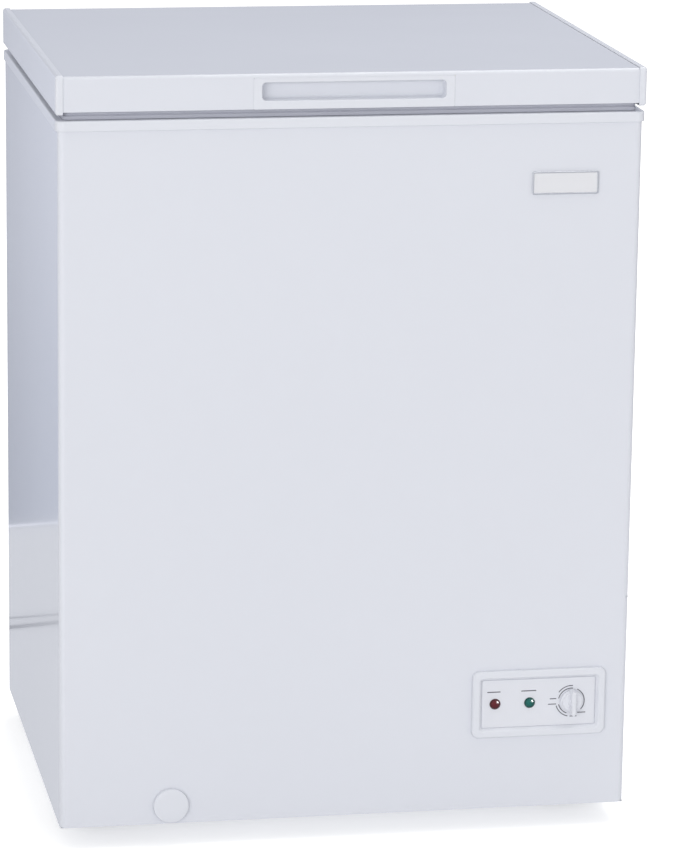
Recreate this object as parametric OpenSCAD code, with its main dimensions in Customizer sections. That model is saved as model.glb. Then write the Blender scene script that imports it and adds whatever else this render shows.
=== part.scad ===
// Chest freezer with a counterbalanced lid, a wire basket and a front drain.
// Front faces -Y, width runs along X, +Z is up. Origin: on the floor, under the
// middle of the closed freezer's bounding box.

/* [Cabinet] */
// Width of the cabinet across its side panels
cab_w = 630; // [600:5:760]
// Depth of the cabinet from front panel to back panel
cab_d = 520; // [500:5:640]
// Height from the floor to the top of the closed lid
total_h = 850; // [830:5:950]
// Thickness of the insulated walls
wall_t = 50; // [45:1:58]
// Thickness of the insulated floor
floor_t = 55; // [50:1:65]
// Thickness of the outer steel sheets
sheet_t = 0.8; // [0.6:0.1:1.2]
// Thickness of the liner's walls
liner_t = 1; // [0.8:0.1:1.5]
// Radius of the cabinet's vertical corners
corner_r = 7; // [5:0.5:12]
// Radius of the liner's vertical corners
liner_r = 18; // [14:1:30]
// Height of the feet under the cabinet
foot_h = 25; // [18:1:40]
// Radius of a foot's pad
foot_r = 20; // [14:1:26]

/* [Compressor step] */
// Width of the raised step in the storage space
step_w = 185; // [180:5:230]
// Height of the step's top above the cabinet's bottom edge
step_h = 275; // [265:5:330]
// Thickness of the foam between the step and the compressor bay
step_foam = 36; // [32:1:42]

/* [Top frame] */
// Height of the frame's outer band
rim_h = 11; // [10:0.5:18]
// Overhang of the frame and lid past the cabinet's faces
rim_over = 2.5; // [2:0.25:4]
// Wall thickness of the moulded frame
frame_t = 2; // [1.5:0.25:2.5]
// Width of the ledge that the basket hangs on
ledge_w = 14; // [12:1:20]
// Depth of the ledge below the frame's top
ledge_drop = 22; // [20:1:30]

/* [Lid] */
// Height of the lid's outer edge
lid_h = 39; // [36:1:60]
// Open gap between the lid's edge and the frame
lid_gap = 9; // [5:0.5:12]
// Width of the side caps as seen on the lid's front
cap_w = 8; // [6:0.5:12]
// Thickness of the side caps
cap_t = 1.2; // [1:0.1:2]
// Depth that the side caps reach below the lid's edge
cap_drop = 3; // [0.5:0.25:4]
// Depth of the inner panel's plug below the frame's top
plug_drop = 5; // [3:0.5:8]
// Width of the gasket's foot
gasket_w = 13; // [11:0.5:16]

/* [Handle] */
// Width of the handle insert
insert_w = 216; // [190:2:260]
// Width of the finger pocket
pocket_w = 198; // [160:2:200]
// Height of the finger pocket
pocket_h = 19.5; // [17:0.5:24]
// Depth of the finger pocket
pocket_d = 14; // [10:1:20]

/* [Control panel] */
// Width of the bezel
bezel_w = 150.5; // [148:0.5:170]
// Height of the bezel
bezel_h = 77; // [74:0.5:90]
// Distance from the cabinet's right side to the bezel's edge
bezel_side = 24.5; // [22:0.5:26]
// Height of the bezel's centre above the cabinet's bottom edge
bezel_z = 120.5; // [100:0.5:135]
// Width of the bezel's raised border
border_w = 9.5; // [8:0.5:12]
// Height of the bezel in front of the cabinet
bezel_proud = 5; // [4:0.5:8]
// Radius of the dome on a signal lamp
lamp_r = 5.6; // [4:0.1:7]
// Half-length of the dial's grip bar
dial_r = 14.8; // [12:0.2:17]
// Height of the dial above the fascia
dial_h = 14; // [11:0.5:18]
// Width of the dial's grip bar
grip_w = 5.2; // [4:0.2:8]

/* [Badge plate] */
// Width of the bare plate
badge_w = 73; // [50:1:100]
// Height of the bare plate
badge_h = 25; // [15:1:35]

/* [Drain] */
// Radius of the outer cap
drain_cap_r = 19.5; // [18:0.5:24]
// Radius of the drain tube's bore
drain_bore_r = 8; // [6:0.5:9]
// Distance from the cabinet's left side to the drain
drain_side = 121.5; // [100:0.5:150]
// Height of the drain above the cabinet's bottom edge
drain_z = 21; // [20.5:0.5:26]

/* [Basket] */
// Width of the basket
basket_w = 220; // [160:5:240]
// Height of the basket
basket_h = 170; // [120:5:200]
// Thickness of the basket's frame wire
basket_rail_d = 5; // [4:0.5:6]
// Thickness of the basket's mesh wire
basket_wire_d = 3; // [2.5:0.25:4]
// Spacing of the basket's mesh wires
basket_pitch = 34; // [26:1:50]

/* [Hinges] */
// Distance from the middle of the lid to a hinge
hinge_x = 205; // [150:5:230]
// Distance from the back panel to the hinge pin
hinge_off = 13; // [12:0.5:18]
// Radius of the hinge pin
pin_r = 3; // [2.5:0.25:3.5]

/* [Refrigeration] */
// Radius of the compressor's shell
pot_r = 60; // [50:1:64]
// Height of the compressor's shell
pot_h = 150; // [120:5:160]
// Distance from the compressor's middle to the back panel
pot_back = 165; // [160:1:175]
// Radius of the evaporator and condenser tubes
coil_r = 3.8; // [3:0.1:4.2]
// Number of evaporator turns round the liner
turns = 7; // [4:1:8]
// Number of condenser passes inside the back panel
passes = 10; // [6:2:12]

/* [Hidden] */
$fn = 48;
// Fit between pieces of one body, and between bodies that move past each other
fit = 0.1;
move_gap = 0.3;
pin_fit = 0.05;
eps = 1;

// Cabinet
dial_floor = 1;
front_proud = dial_floor + dial_h;
ear_r = 8;
cover_t = 1.5;
rear_proud = hinge_off + ear_r + move_gap + cover_t;
x_side = cab_w / 2;
y_front = -(front_proud + cab_d + rear_proud) / 2 + front_proud;
y_back = y_front + cab_d;
z_base = foot_h;
z_rim = total_h - lid_h - lid_gap;
z_rim_bot = z_rim - rim_h;
z_shell = z_rim - frame_t;
z_ledge = z_rim - ledge_drop;
z_floor = z_base + floor_t;
z_step = z_base + step_h;
// Inner faces of the outer sheets
xi = x_side - sheet_t;
yf = y_front + sheet_t;
yb = y_back - 2 * sheet_t;
flange_w = 14;
// Liner: inner faces, and the step's left side
lx = x_side - wall_t;
ly0 = y_front + wall_t;
ly1 = y_back - wall_t;
x_step = lx - step_w;
skirt_h = 14;
skirt_t = 1.5;
// Compressor bay
bay_x = x_step + step_foam;
bay_top = z_step - step_foam - 2 * liner_t;
tray_t = 2;
bay_mid = (bay_x + xi) / 2;

// Lid
lid_x = x_side + rim_over;
lid_y0 = y_front - rim_over;
lid_y1 = y_back + rim_over;
z_edge = total_h - lid_h;
cap_wall = 2;
skin_y0 = lid_y0 + cap_t + fit;
skin_y1 = lid_y1 - cap_t - fit;
skin_z = total_h - cap_t - fit;
skin_x = lid_x - cap_wall - fit;
skin_r = 3.5;
hem_w = 7;
z_panel = z_edge + sheet_t;
panel_t = 1.5;
plug_gap = 6;
plug_x = lx + ledge_w - plug_gap;
plug_y0 = ly0 - ledge_w + plug_gap;
plug_y1 = ly1 + ledge_w - plug_gap;
z_plug = z_rim - plug_drop;
plug_r = liner_r + ledge_w - plug_gap;
gasket_in = max(hem_w, cap_w) + 0.5;
gasket_r = 10;

// Handle insert
pocket_z = z_edge + 0.5 * lid_h - 0.7;
pocket_r = 6;
insert_t = 2.2;
insert_z1 = skin_z - 4.5;

// Control panel
bezel_cx = x_side - bezel_side - bezel_w / 2;
bezel_cz = z_base + bezel_z;
bezel_r = 8;
fascia_t = 2;
fascia_y = y_front - dial_floor;
window_w = bezel_w - 2 * border_w;
window_h = bezel_h - 2 * border_w;
skirt_r = dial_r - 1.9;
lamp_red_x = bezel_cx - 49;
lamp_green_x = bezel_cx - 10;
dial_x = bezel_cx + 37.3;
housing_d = 55;
housing_y1 = y_front + housing_d;
housing_t = 2;
shaft_r = 3;
bush_r = 4.8;
stat_d = 20;
stat_w = 44;
stat_y = fascia_y + fascia_t + 1;

// Badge plate
badge_x = x_side - 47.5 - badge_w / 2;
badge_z = z_rim_bot - 64.5;
badge_t = 2.4;

// Drain
drain_x = -x_side + drain_side;
drain_cz = z_base + drain_z;
drain_y = ly0 + 42;
drain_t = 2;
collar_r = drain_bore_r + 5;
collar_t = 1.5;
cap_h = 5;

// Basket
rail_r = basket_rail_d / 2;
cross_r = rail_r * 0.84;
wire_r = basket_wire_d / 2;
basket_gap = 9;
by0 = ly0 + basket_gap;
by1 = ly1 - basket_gap;
rail_z = z_ledge + move_gap + rail_r;
basket_x1 = lx - skirt_t - 12;
basket_x0 = basket_x1 - basket_w;
basket_z = rail_z - basket_h;
rail_reach = ledge_w - 4;
ball_r = wire_r + 0.15;
lap = 2 * wire_r - 0.4;
basket_floor_z = basket_z + wire_r;
hoops_z = [basket_z + 14, basket_z + basket_h / 2];
wire_margin = 12;
wires_x_n = floor((basket_w - 2 * wire_margin) / basket_pitch);
wires_y_n = floor((by1 - by0 - 2 * wire_margin) / basket_pitch);
wires_x = [for (i = [0:wires_x_n])
    basket_x0 + wire_margin + i * (basket_w - 2 * wire_margin) / wires_x_n];
wires_y = [for (i = [0:wires_y_n])
    by0 + wire_margin + i * (by1 - by0 - 2 * wire_margin) / wires_y_n];

// Hinges
pin_y = y_back + hinge_off;
pin_z = z_edge + 4;
ear_t = 2;
ear_x = 20;
leaf_t = 2.5;
knuckle_r = pin_r + 3.2;
knuckle_x0 = 9;
knuckle_x1 = ear_x - ear_t - move_gap;
base_h = 80;
base_z0 = pin_z - 12 - base_h;
arm_h = 32;
screw_r = 2;
head_r = 4;
head_h = 2.2;
hinge_screws = [for (sx = [-1, 1]) for (sz = [0.22, 0.72]) [sx * 10, base_z0 + sz * base_h]];
arm_screws = [for (sx = [-1, 1]) [sx * 9, pin_z + 21]];

// Refrigeration
pot_x = bay_mid;
pot_y = y_back - pot_back;
leg_x = 68;
leg_y = 52;
grommet_h = 14;
z_tray = z_base + tray_t;
z_leg = z_tray + grommet_h - 4;
leg_t = 3;
z_pot = z_leg + leg_t;
pot_seam = 4;
pot_dome = 34;
wall_gap = 0.2;
coil_z0 = z_step + 35;
coil_z1 = z_ledge - 35;
coil_pitch = (coil_z1 - coil_z0) / (turns - 1);
coil_bend = liner_r;
cx = lx + liner_t + coil_r + wall_gap;
cy0 = ly0 - liner_t - coil_r - wall_gap;
cy1 = ly1 + liner_t + coil_r + wall_gap;
channel = 2 * coil_r + 2;
capillary_in = 45;
suction_in = 85;
coil_in_x = bay_x + capillary_in;
coil_step_x = coil_in_x - 34;
suction_x = bay_x + suction_in;
cond_y = yb - coil_r - wall_gap;
cond_side = 40;
cond_x1 = xi - cond_side;
cond_pitch = (2 * cond_x1 - 30) / (passes - 1);
cond_z0 = bay_top + 45;
cond_z1 = base_z0 - 25;
cond_x2 = cond_x1 - 22;
return_z = cond_z0 - 16;
suction_y = cy1 + 2 * coil_r + 2;
pipe_end = bay_top - 25;
line_bend = 14;
capillary_r = 1.2;
drier_r = 9;
drier_h = 70;
drier_y = cond_y - 16;
drier_z1 = pipe_end - 20;
stub_r = 5;
stub_y = pot_y + pot_r + 15;
suction_z = z_pot + 0.6 * pot_h;
discharge_x = pot_x + 25;
discharge_z = z_pot + 0.35 * pot_h;
relay_w = 44;
relay_d = 30;
relay_h = 56;
relay_y = pot_y - pot_r - pot_seam - move_gap;
relay_z = z_pot + 0.35 * pot_h;
sensor_y = ly0 + 60;
sensor_r = 1;
bulb_r = 3;
grommet_places = [for (sx = [-1, 1]) for (sy = [-1, 1]) [pot_x + sx * leg_x, pot_y + sy * leg_y]];

// Feet
foot_in_x = 50;
foot_in_front = 95;
foot_in_back = 60;
foot_places = [for (s = [-1, 1]) for (y = [y_front + foot_in_front, y_back - foot_in_back])
    [s * (x_side - foot_in_x), y]];
foot_screw_r = 2.5;

// Grille, rear cover and cord gland
grille_t = 3;
grille_lip = 6;
grille_y0 = pot_y - 70;
grille_y1 = pot_y + 80;
grille_z0 = z_base + 35;
grille_z1 = bay_top - 45;
grille_slots = 9;
cover_slots = 8;
cover_screws_z = [z_base + 22, bay_top - 22];
gland_x = bay_x + 24;
gland_z = z_base + 48;
gland_r = 8;
gland_bore_r = 3.6;
loom_r = 3;
loom_out = 28;
loom_x = bay_x + 14;

// ---------- Helpers ----------

// Points of a rounded rectangle, with one radius for y0 corners and one for y1 corners
function rounded(x0, y0, x1, y1, r0, r1) =
    let (steps = [0:15:90])
    concat(
        [for (a = steps) [x1 - r0 + r0 * cos(a - 90), y0 + r0 + r0 * sin(a - 90)]],
        [for (a = steps) [x1 - r1 + r1 * cos(a), y1 - r1 + r1 * sin(a)]],
        [for (a = steps) [x0 + r1 + r1 * cos(a + 90), y1 - r1 + r1 * sin(a + 90)]],
        [for (a = steps) [x0 + r0 + r0 * cos(a + 180), y0 + r0 + r0 * sin(a + 180)]]);

module block(lo, hi) {
    translate(lo) cube(hi - lo);
}

// Upright prism of a rounded rectangle
module slab(x0, y0, x1, y1, z0, z1, r0, r1) {
    translate([0, 0, z0])
        linear_extrude(z1 - z0) polygon(rounded(x0, y0, x1, y1, r0, r1));
}

// Ring between two rounded rectangles that are inset by a and b from the given one
module band(x0, y0, x1, y1, z0, z1, r, a, b) {
    difference() {
        slab(x0 + a, y0 + a, x1 - a, y1 - a, z0, z1, r - a, r - a);
        slab(x0 + b, y0 + b, x1 - b, y1 - b, z0 - eps, z1 + eps, r - b, r - b);
    }
}

// Rounded plate that stands upright, from y0 to y1
module plate(cx0, cz0, w, h, y0, y1, r) {
    translate([cx0, y1, cz0]) rotate([90, 0, 0])
        linear_extrude(y1 - y0) polygon(rounded(-w / 2, -h / 2, w / 2, h / 2, r, r));
}

module rod_x(x0, x1, y, z, r) {
    translate([x0, y, z]) rotate([0, 90, 0]) cylinder(h = x1 - x0, r = r);
}

module rod_y(x, y0, y1, z, r) {
    translate([x, y0, z]) rotate([-90, 0, 0]) cylinder(h = y1 - y0, r = r);
}

module rod_z(x, y, z0, z1, r) {
    translate([x, y, z0]) cylinder(h = z1 - z0, r = r);
}

// Pan-head screw along +Y: the head's underside is at y = 0 and the shank runs to +Y
module screw_y(length, r = screw_r, hr = head_r) {
    rod_y(0, 0, length, 0, r);
    rotate([90, 0, 0]) rotate_extrude()
        polygon([[0, 0], [hr, 0], [hr, head_h * 0.45], [hr * 0.7, head_h * 0.9], [0, head_h]]);
}

module both_sides() {
    for (s = [-1, 1]) translate([s * hinge_x, 0, 0]) children();
}

function unit(v) = v / norm(v);

// Replaces each inner corner of a path with an arc of radius r (less where legs are short)
function bend(p, r, n = 3) =
    [for (i = [0:len(p) - 1]) each
        (i == 0 || i == len(p) - 1) ? [p[i]] :
        let (u = unit(p[i - 1] - p[i]), v = unit(p[i + 1] - p[i]),
             half = acos(max(-1, min(1, u * v))) / 2,
             room = 0.49 * min(norm(p[i - 1] - p[i]), norm(p[i + 1] - p[i])),
             d = min(r / tan(half), room), q = d * tan(half),
             c = p[i] + unit(u + v) * q / sin(half))
        [for (k = [0:n]) c + q * unit((p[i] + u * d - c) * (1 - k / n) + (p[i] + v * d - c) * k / n)]];

function heading(p, i) = unit(p[min(i + 1, len(p) - 1)] - p[max(i - 1, 0)]);

// Normals along a path that turn with it and never twist
function normals(p, i = 0, last = [0, 0, 0]) =
    i == len(p) ? [] :
    let (t = heading(p, i),
         seed = abs(t.z) < 0.9 ? [0, 0, 1] : [1, 0, 0],
         m = norm(last) == 0 ? cross(t, seed) : last - (last * t) * t,
         n = unit(m))
    concat([n], normals(p, i + 1, n));

// Tube along a path
module pipe(p, r, sides = 8) {
    n = normals(p);
    last = len(p) - 1;
    ring = [0:sides - 1];
    points = [for (i = [0:last]) for (k = ring)
        let (b = cross(heading(p, i), n[i]), a = 360 * k / sides)
        p[i] + r * (cos(a) * n[i] + sin(a) * b)];
    sides_faces = [for (i = [0:last - 1]) for (k = ring)
        let (k2 = (k + 1) % sides)
        [i * sides + k, (i + 1) * sides + k, (i + 1) * sides + k2, i * sides + k2]];
    polyhedron(points, concat(
        [[for (k = ring) k]],
        [[for (k = ring) last * sides + sides - 1 - k]],
        sides_faces));
}

// ---------- Cabinet ----------

module shell_outline(z0, z1, inset) {
    slab(-x_side + inset, y_front + inset, x_side - inset, yb + sheet_t - inset, z0, z1,
         corner_r - inset, 2 - min(inset, 1.5));
}

module cabinet_shell() {
    color([0.9, 0.91, 0.94]) difference() {
        shell_outline(z_base, z_shell, 0);
        shell_outline(z_base - eps, z_shell + eps, sheet_t);
        block([-xi + flange_w, yb - eps, z_base - eps], [xi - flange_w, y_back, z_shell + eps]);
        plate(bezel_cx, bezel_cz, window_w + 5, window_h + 5, y_front - eps, yf + eps, 4);
        rod_y(drain_x, y_front - eps, yf + eps, drain_cz, drain_bore_r + drain_t + fit);
        for (z = cover_screws_z) rod_y(xi - flange_w / 2, yb - eps, y_back, z, screw_r + fit);
        grille_opening(fit);
    }
}

module grille_opening(gap) {
    block([xi - 2 * grille_t, grille_y0 - gap, grille_z0 - gap],
          [x_side + eps, grille_y1 + gap, grille_z1 + gap]);
}

module back_panel() {
    color([0.78, 0.79, 0.8]) difference() {
        block([-x_side, y_back - sheet_t, z_base], [x_side, y_back, z_shell]);
        block([bay_x, y_back - sheet_t - eps, z_base - eps], [x_side + eps, y_back + eps, bay_top]);
        both_sides() for (s = hinge_screws)
            rod_y(s.x, y_back - 5, y_back + eps, s.y, screw_r + fit);
    }
}

module base_pan() {
    color([0.7, 0.71, 0.72]) difference() {
        block([-xi + fit, yf + fit, z_base], [bay_x, yb, z_base + sheet_t]);
        foot_holes();
    }
}

module bay_panel() {
    color([0.75, 0.76, 0.77]) difference() {
        union() {
            block([bay_x - sheet_t, yf + fit, z_base + sheet_t], [bay_x, yb, bay_top]);
            block([bay_x - sheet_t, yf + fit, bay_top], [xi - fit, yb, bay_top + sheet_t]);
            block([bay_x - sheet_t, yb, z_base + sheet_t],
                  [bay_x + flange_w, yb + sheet_t, bay_top + sheet_t]);
        }
        for (z = cover_screws_z) rod_y(bay_x + flange_w / 2, yb - eps, y_back, z, screw_r + fit);
        for (p = [[coil_in_x, cy1], [suction_x, suction_y], [cond_x1, cond_y], [cond_x2, cond_y]])
            rod_z(p.x, p.y, bay_top - eps, bay_top + 2 * eps, coil_r + 0.5);
        rod_z(dial_x, sensor_y, bay_top - eps, bay_top + 2 * eps, 4);
    }
}

module compressor_tray() {
    color([0.55, 0.56, 0.58]) difference() {
        union() {
            block([bay_x + fit, yf + fit, z_base], [xi - fit, yb, z_tray]);
            block([bay_x + fit, yf + fit, z_tray], [bay_x + fit + tray_t, yb, z_tray + 12]);
        }
        foot_holes();
        for (p = grommet_places) rod_z(p.x, p.y, z_base - eps, z_tray + eps, 3 + fit);
    }
}

module cabinet_foam() {
    color([0.93, 0.88, 0.66]) difference() {
        slab(-xi + fit, yf + fit, xi - fit, yb - fit, z_base + sheet_t, z_shell - fit,
             corner_r - sheet_t, 2);
        liner_outline(liner_t + fit, z_shell + eps);
        frame_pocket();
        block([bay_x - sheet_t - fit, yf - eps, z_base - eps],
              [xi + eps, yb + eps, bay_top + sheet_t + fit]);
        // Channels for the coils and lines
        for (i = [0:turns - 1])
            band(-cx, cy0, cx, cy1, coil_z0 + i * coil_pitch - channel / 2,
                 coil_z0 + i * coil_pitch + channel / 2, coil_bend, -channel / 2, channel / 2 + 2.5);
        block([coil_step_x - coil_bend, ly1, coil_z0 - coil_bend - channel / 2],
              [coil_in_x + coil_bend + channel / 2, cy1 + channel / 2, coil_z1]);
        block([coil_in_x - channel / 2, ly1, bay_top],
              [coil_in_x + channel / 2, cy1 + channel / 2, coil_z0]);
        block([suction_x - channel / 2, ly1, bay_top],
              [suction_x + channel / 2, suction_y + channel / 2, coil_z1 + channel / 2]);
        block([coil_step_x - channel / 2, ly1, coil_z1 - channel / 2],
              [suction_x, suction_y + channel / 2, coil_z1 + channel / 2]);
        block([suction_x - line_bend - channel / 2, ly1, coil_z1 - line_bend - channel / 2],
              [suction_x + channel / 2, suction_y + channel / 2, coil_z1 + channel / 2]);
        block([-cond_x1 - channel, yb - channel, return_z - channel],
              [cond_x1 + channel, yb + eps, cond_z1 + channel]);
        block([cond_x2 - channel, yb - channel, bay_top], [cond_x1 + channel, yb + eps, cond_z0]);
        block([dial_x - 5, sensor_y - 5, bay_top], [dial_x + 5, sensor_y + 5, z_step]);
        drain_body(drain_bore_r + drain_t + fit, fit);
        both_sides() for (s = hinge_screws)
            rod_y(s.x, yb - 10, y_back, s.y, screw_r + fit);
        foot_holes();
        shell_flanges();
    }
}

// Room for the shell's rear flanges
module shell_flanges() {
    for (s = [-1, 1])
        translate([s * (xi - flange_w / 2), 0, 0])
            block([-flange_w / 2 - fit, yb - fit, z_base - eps], [flange_w / 2 + 2, y_back, z_shell + eps]);
}

// The liner's tank, grown by a margin: a deep part on the left and a step on the right
module liner_outline(grow, z_top) {
    slab(-lx - grow, ly0 - grow, lx + grow, ly1 + grow, z_step - grow, z_top,
         liner_r + grow, liner_r + grow);
    slab(-lx - grow, ly0 - grow, x_step + grow, ly1 + grow, z_floor - grow, z_step + eps,
         liner_r + grow, liner_r + grow);
}

module inner_liner() {
    color([0.86, 0.87, 0.88]) difference() {
        liner_outline(liner_t, z_ledge - frame_t);
        liner_outline(0, z_shell);
        rod_z(drain_x, drain_y, z_floor - 5, z_floor + 5, drain_bore_r + drain_t + fit);
    }
}

// The frame's recess in the foam
module frame_pocket() {
    slab(-lx - ledge_w - frame_t - fit, ly0 - ledge_w - frame_t - fit,
         lx + ledge_w + frame_t + fit, ly1 + ledge_w + frame_t + fit,
         z_ledge - frame_t - fit, z_rim + eps, liner_r + ledge_w + frame_t, liner_r + ledge_w + frame_t);
}

module top_frame() {
    mx = lx + ledge_w;
    my0 = ly0 - ledge_w;
    my1 = ly1 + ledge_w;
    mr = liner_r + ledge_w;
    color([0.91, 0.92, 0.94]) difference() {
        union() {
            difference() {
                slab(-lid_x, lid_y0, lid_x, lid_y1, z_rim_bot, z_rim,
                     corner_r + rim_over, corner_r + rim_over);
                slab(-x_side - fit, y_front - fit, x_side + fit, y_back + fit,
                     z_rim_bot - eps, z_shell, corner_r, 2);
                // Clear of the hinge brackets
                both_sides() block([-ear_x - 6, y_back, z_rim_bot - eps],
                                   [ear_x + 6, lid_y1 + eps, z_rim + eps]);
            }
            slab(-mx - frame_t, my0 - frame_t, mx + frame_t, my1 + frame_t,
                 z_ledge - frame_t, z_shell + fit, mr + frame_t, mr + frame_t);
            slab(-lx + fit, ly0 + fit, lx - fit, ly1 - fit, z_ledge - skirt_h, z_ledge,
                 liner_r - fit, liner_r - fit);
        }
        slab(-mx, my0, mx, my1, z_ledge, z_rim + eps, mr, mr);
        slab(-lx + skirt_t, ly0 + skirt_t, lx - skirt_t, ly1 - skirt_t,
             z_ledge - skirt_h - eps, z_rim + eps, liner_r - skirt_t, liner_r - skirt_t);
    }
}

// ---------- Refrigeration ----------

evaporator_path = concat(
    [[coil_in_x, cy1, pipe_end]],
    [for (i = [0:turns - 1]) let (z = coil_z0 + i * coil_pitch) each [
        [coil_in_x, cy1, z], [cx, cy1, z], [cx, cy0, z], [-cx, cy0, z], [-cx, cy1, z],
        [coil_step_x, cy1, z]]]);

module evaporator_coil() {
    color([0.72, 0.73, 0.75]) pipe(bend(evaporator_path, coil_bend), coil_r);
}

condenser_path = concat(
    [[cond_x1, cond_y, pipe_end]],
    [for (i = [0:passes - 1])
        let (x = cond_x1 - i * cond_pitch, up = i % 2 == 0,
             z0 = up ? cond_z0 : cond_z1, z1 = up ? cond_z1 : cond_z0)
        each concat(i == 0 ? [] : [[x, cond_y, z0]], i == passes - 1 ? [] : [[x, cond_y, z1]])],
    [[cond_x1 - (passes - 1) * cond_pitch, cond_y, return_z], [cond_x2, cond_y, return_z],
     [cond_x2, cond_y, bay_top - 12], [cond_x2, drier_y, pipe_end], [cond_x2, drier_y, drier_z1]]);

module condenser_coil() {
    color([0.25, 0.25, 0.26]) pipe(bend(condenser_path, cond_pitch / 2), coil_r);
}

module compressor() {
    color([0.1, 0.1, 0.11]) difference() {
        union() {
            slab(pot_x - leg_x - 10, pot_y - leg_y - 10, pot_x + leg_x + 10, pot_y + leg_y + 10,
                 z_leg, z_pot, 12, 12);
            translate([pot_x, pot_y, z_pot - 0.5]) rotate_extrude() polygon(concat(
                [[0, 0], [pot_r * 0.7, 0], [pot_r * 0.92, 8], [pot_r, 22],
                 [pot_r, pot_h * 0.5], [pot_r + pot_seam, pot_h * 0.5],
                 [pot_r + pot_seam, pot_h * 0.5 + pot_seam], [pot_r, pot_h * 0.5 + pot_seam]],
                [for (a = [0:15:90]) [pot_r * cos(a), pot_h - pot_dome + pot_dome * sin(a)]]));
            rod_y(suction_x, pot_y + pot_r * 0.8, stub_y, suction_z, stub_r);
            rod_y(discharge_x, pot_y + pot_r * 0.8, stub_y, discharge_z, stub_r);
        }
        for (p = grommet_places) rod_z(p.x, p.y, z_leg - eps, z_pot + eps, 6 + fit);
    }
}

module compressor_grommets() {
    color([0.08, 0.08, 0.08]) for (p = grommet_places)
        translate([p.x, p.y, 0]) rotate_extrude() polygon([
            [3 + fit, z_tray], [9, z_tray], [9, z_leg - fit], [6, z_leg - fit],
            [6, z_pot + fit], [8.5, z_pot + fit], [8.5, z_pot + 3], [3 + fit, z_pot + 3]]);
}

module compressor_bolts() {
    color([0.7, 0.7, 0.72]) for (p = grommet_places) {
        rod_z(p.x, p.y, z_base + 0.5, z_pot + 3 + fit, 3);
        rod_z(p.x, p.y, z_pot + 3 + fit, z_pot + 7, 5.5);
    }
}

module relay_box() {
    color([0.2, 0.2, 0.21]) block([pot_x - relay_w / 2, relay_y - relay_d, relay_z],
                                  [pot_x + relay_w / 2, relay_y, relay_z + relay_h]);
}

module filter_drier() {
    neck = 8;
    color([0.75, 0.45, 0.3]) translate([cond_x2, drier_y, drier_z1 - drier_h])
        rotate_extrude() polygon([
            [0, 0], [2, 0], [drier_r, neck], [drier_r, drier_h - neck], [coil_r, drier_h],
            [0, drier_h]]);
}

module discharge_line() {
    turn_y = stub_y + 22;
    color([0.75, 0.45, 0.3]) pipe(bend([
        [cond_x1, cond_y, pipe_end], [cond_x1, cond_y, discharge_z], [cond_x1, turn_y, discharge_z],
        [discharge_x, turn_y, discharge_z], [discharge_x, stub_y, discharge_z]], line_bend), coil_r - 0.8);
}

module suction_line() {
    x0 = coil_step_x;
    color([0.75, 0.45, 0.3]) pipe(bend([
        [x0, cy1, coil_z1], [x0 + 8, cy1, coil_z1], [x0 + 20, suction_y, coil_z1],
        [suction_x, suction_y, coil_z1], [suction_x, suction_y, suction_z],
        [suction_x, stub_y, suction_z]], line_bend), coil_r);
}

module capillary_tube() {
    low = drier_z1 - drier_h - 18;
    color([0.75, 0.45, 0.3]) pipe(bend([
        [cond_x2, drier_y, drier_z1 - drier_h], [cond_x2, drier_y, low], [coil_in_x, drier_y, low],
        [coil_in_x, cy1, low], [coil_in_x, cy1, pipe_end]], line_bend), capillary_r, 6);
}

// ---------- Bay covers and wiring ----------

module side_grille() {
    h = grille_z1 - grille_z0;
    pitch = h / grille_slots;
    color([0.85, 0.86, 0.88]) difference() {
        union() {
            block([xi - grille_t, grille_y0, grille_z0], [x_side + fit, grille_y1, grille_z1]);
            block([x_side + fit, grille_y0 - grille_lip, grille_z0 - grille_lip],
                  [x_side + 1.4, grille_y1 + grille_lip, grille_z1 + grille_lip]);
        }
        for (i = [0:grille_slots - 1])
            block([xi - grille_t - eps, grille_y0 + 6, grille_z0 + (i + 0.3) * pitch],
                  [x_side + 3, grille_y1 - 6, grille_z0 + (i + 0.7) * pitch]);
    }
}

module rear_cover() {
    x0 = bay_x + flange_w + 8;
    x1 = xi - flange_w - 8;
    zs = gland_z + 28;
    pitch = (bay_top - 18 - zs) / cover_slots;
    color([0.6, 0.61, 0.62]) difference() {
        block([bay_x + fit, y_back - sheet_t, z_base], [x_side, y_back, bay_top - fit]);
        for (i = [0:cover_slots - 1])
            block([x0, yb - eps, zs + (i + 0.25) * pitch], [x1, y_back + eps, zs + (i + 0.65) * pitch]);
        rod_y(gland_x, yb - eps, y_back + eps, gland_z, gland_r + fit);
        for (z = cover_screws_z) for (x = [bay_x + flange_w / 2, xi - flange_w / 2])
            rod_y(x, yb - eps, y_back + eps, z, screw_r + fit);
    }
}

module rear_cover_screws() {
    color([0.6, 0.6, 0.62]) for (z = cover_screws_z)
        for (x = [bay_x + flange_w / 2, xi - flange_w / 2])
            translate([x, y_back, z]) mirror([0, 1, 0]) screw_y(6);
}

module cord_gland() {
    color([0.12, 0.12, 0.12]) translate([gland_x, y_back, gland_z]) rotate([90, 0, 0])
        rotate_extrude() polygon([
            [gland_bore_r, -12], [6, -12], [gland_r, -6], [11, -6], [11, -fit], [gland_r, -fit],
            [gland_r, 10], [gland_bore_r, 10]]);
}

module wiring_loom() {
    relay_mid = relay_y - relay_d / 2;
    rz = relay_z + relay_h / 2;
    color([0.15, 0.15, 0.16]) {
        pipe(bend([[bezel_cx, housing_y1, bezel_cz], [bezel_cx, housing_y1 + loom_out, bezel_cz],
                   [pot_x, housing_y1 + 3 * loom_out, rz], [pot_x, relay_y - relay_d, rz]],
                  loom_out), loom_r, 8);
        pipe(bend([[gland_x, y_back - 10, gland_z], [gland_x, y_back - 40, gland_z],
                   [loom_x, y_back - 70, gland_z], [loom_x, relay_mid, gland_z],
                   [loom_x, relay_mid, rz], [pot_x - relay_w / 2, relay_mid, rz]], 12), loom_r, 8);
    }
}

// ---------- Control panel ----------

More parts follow.
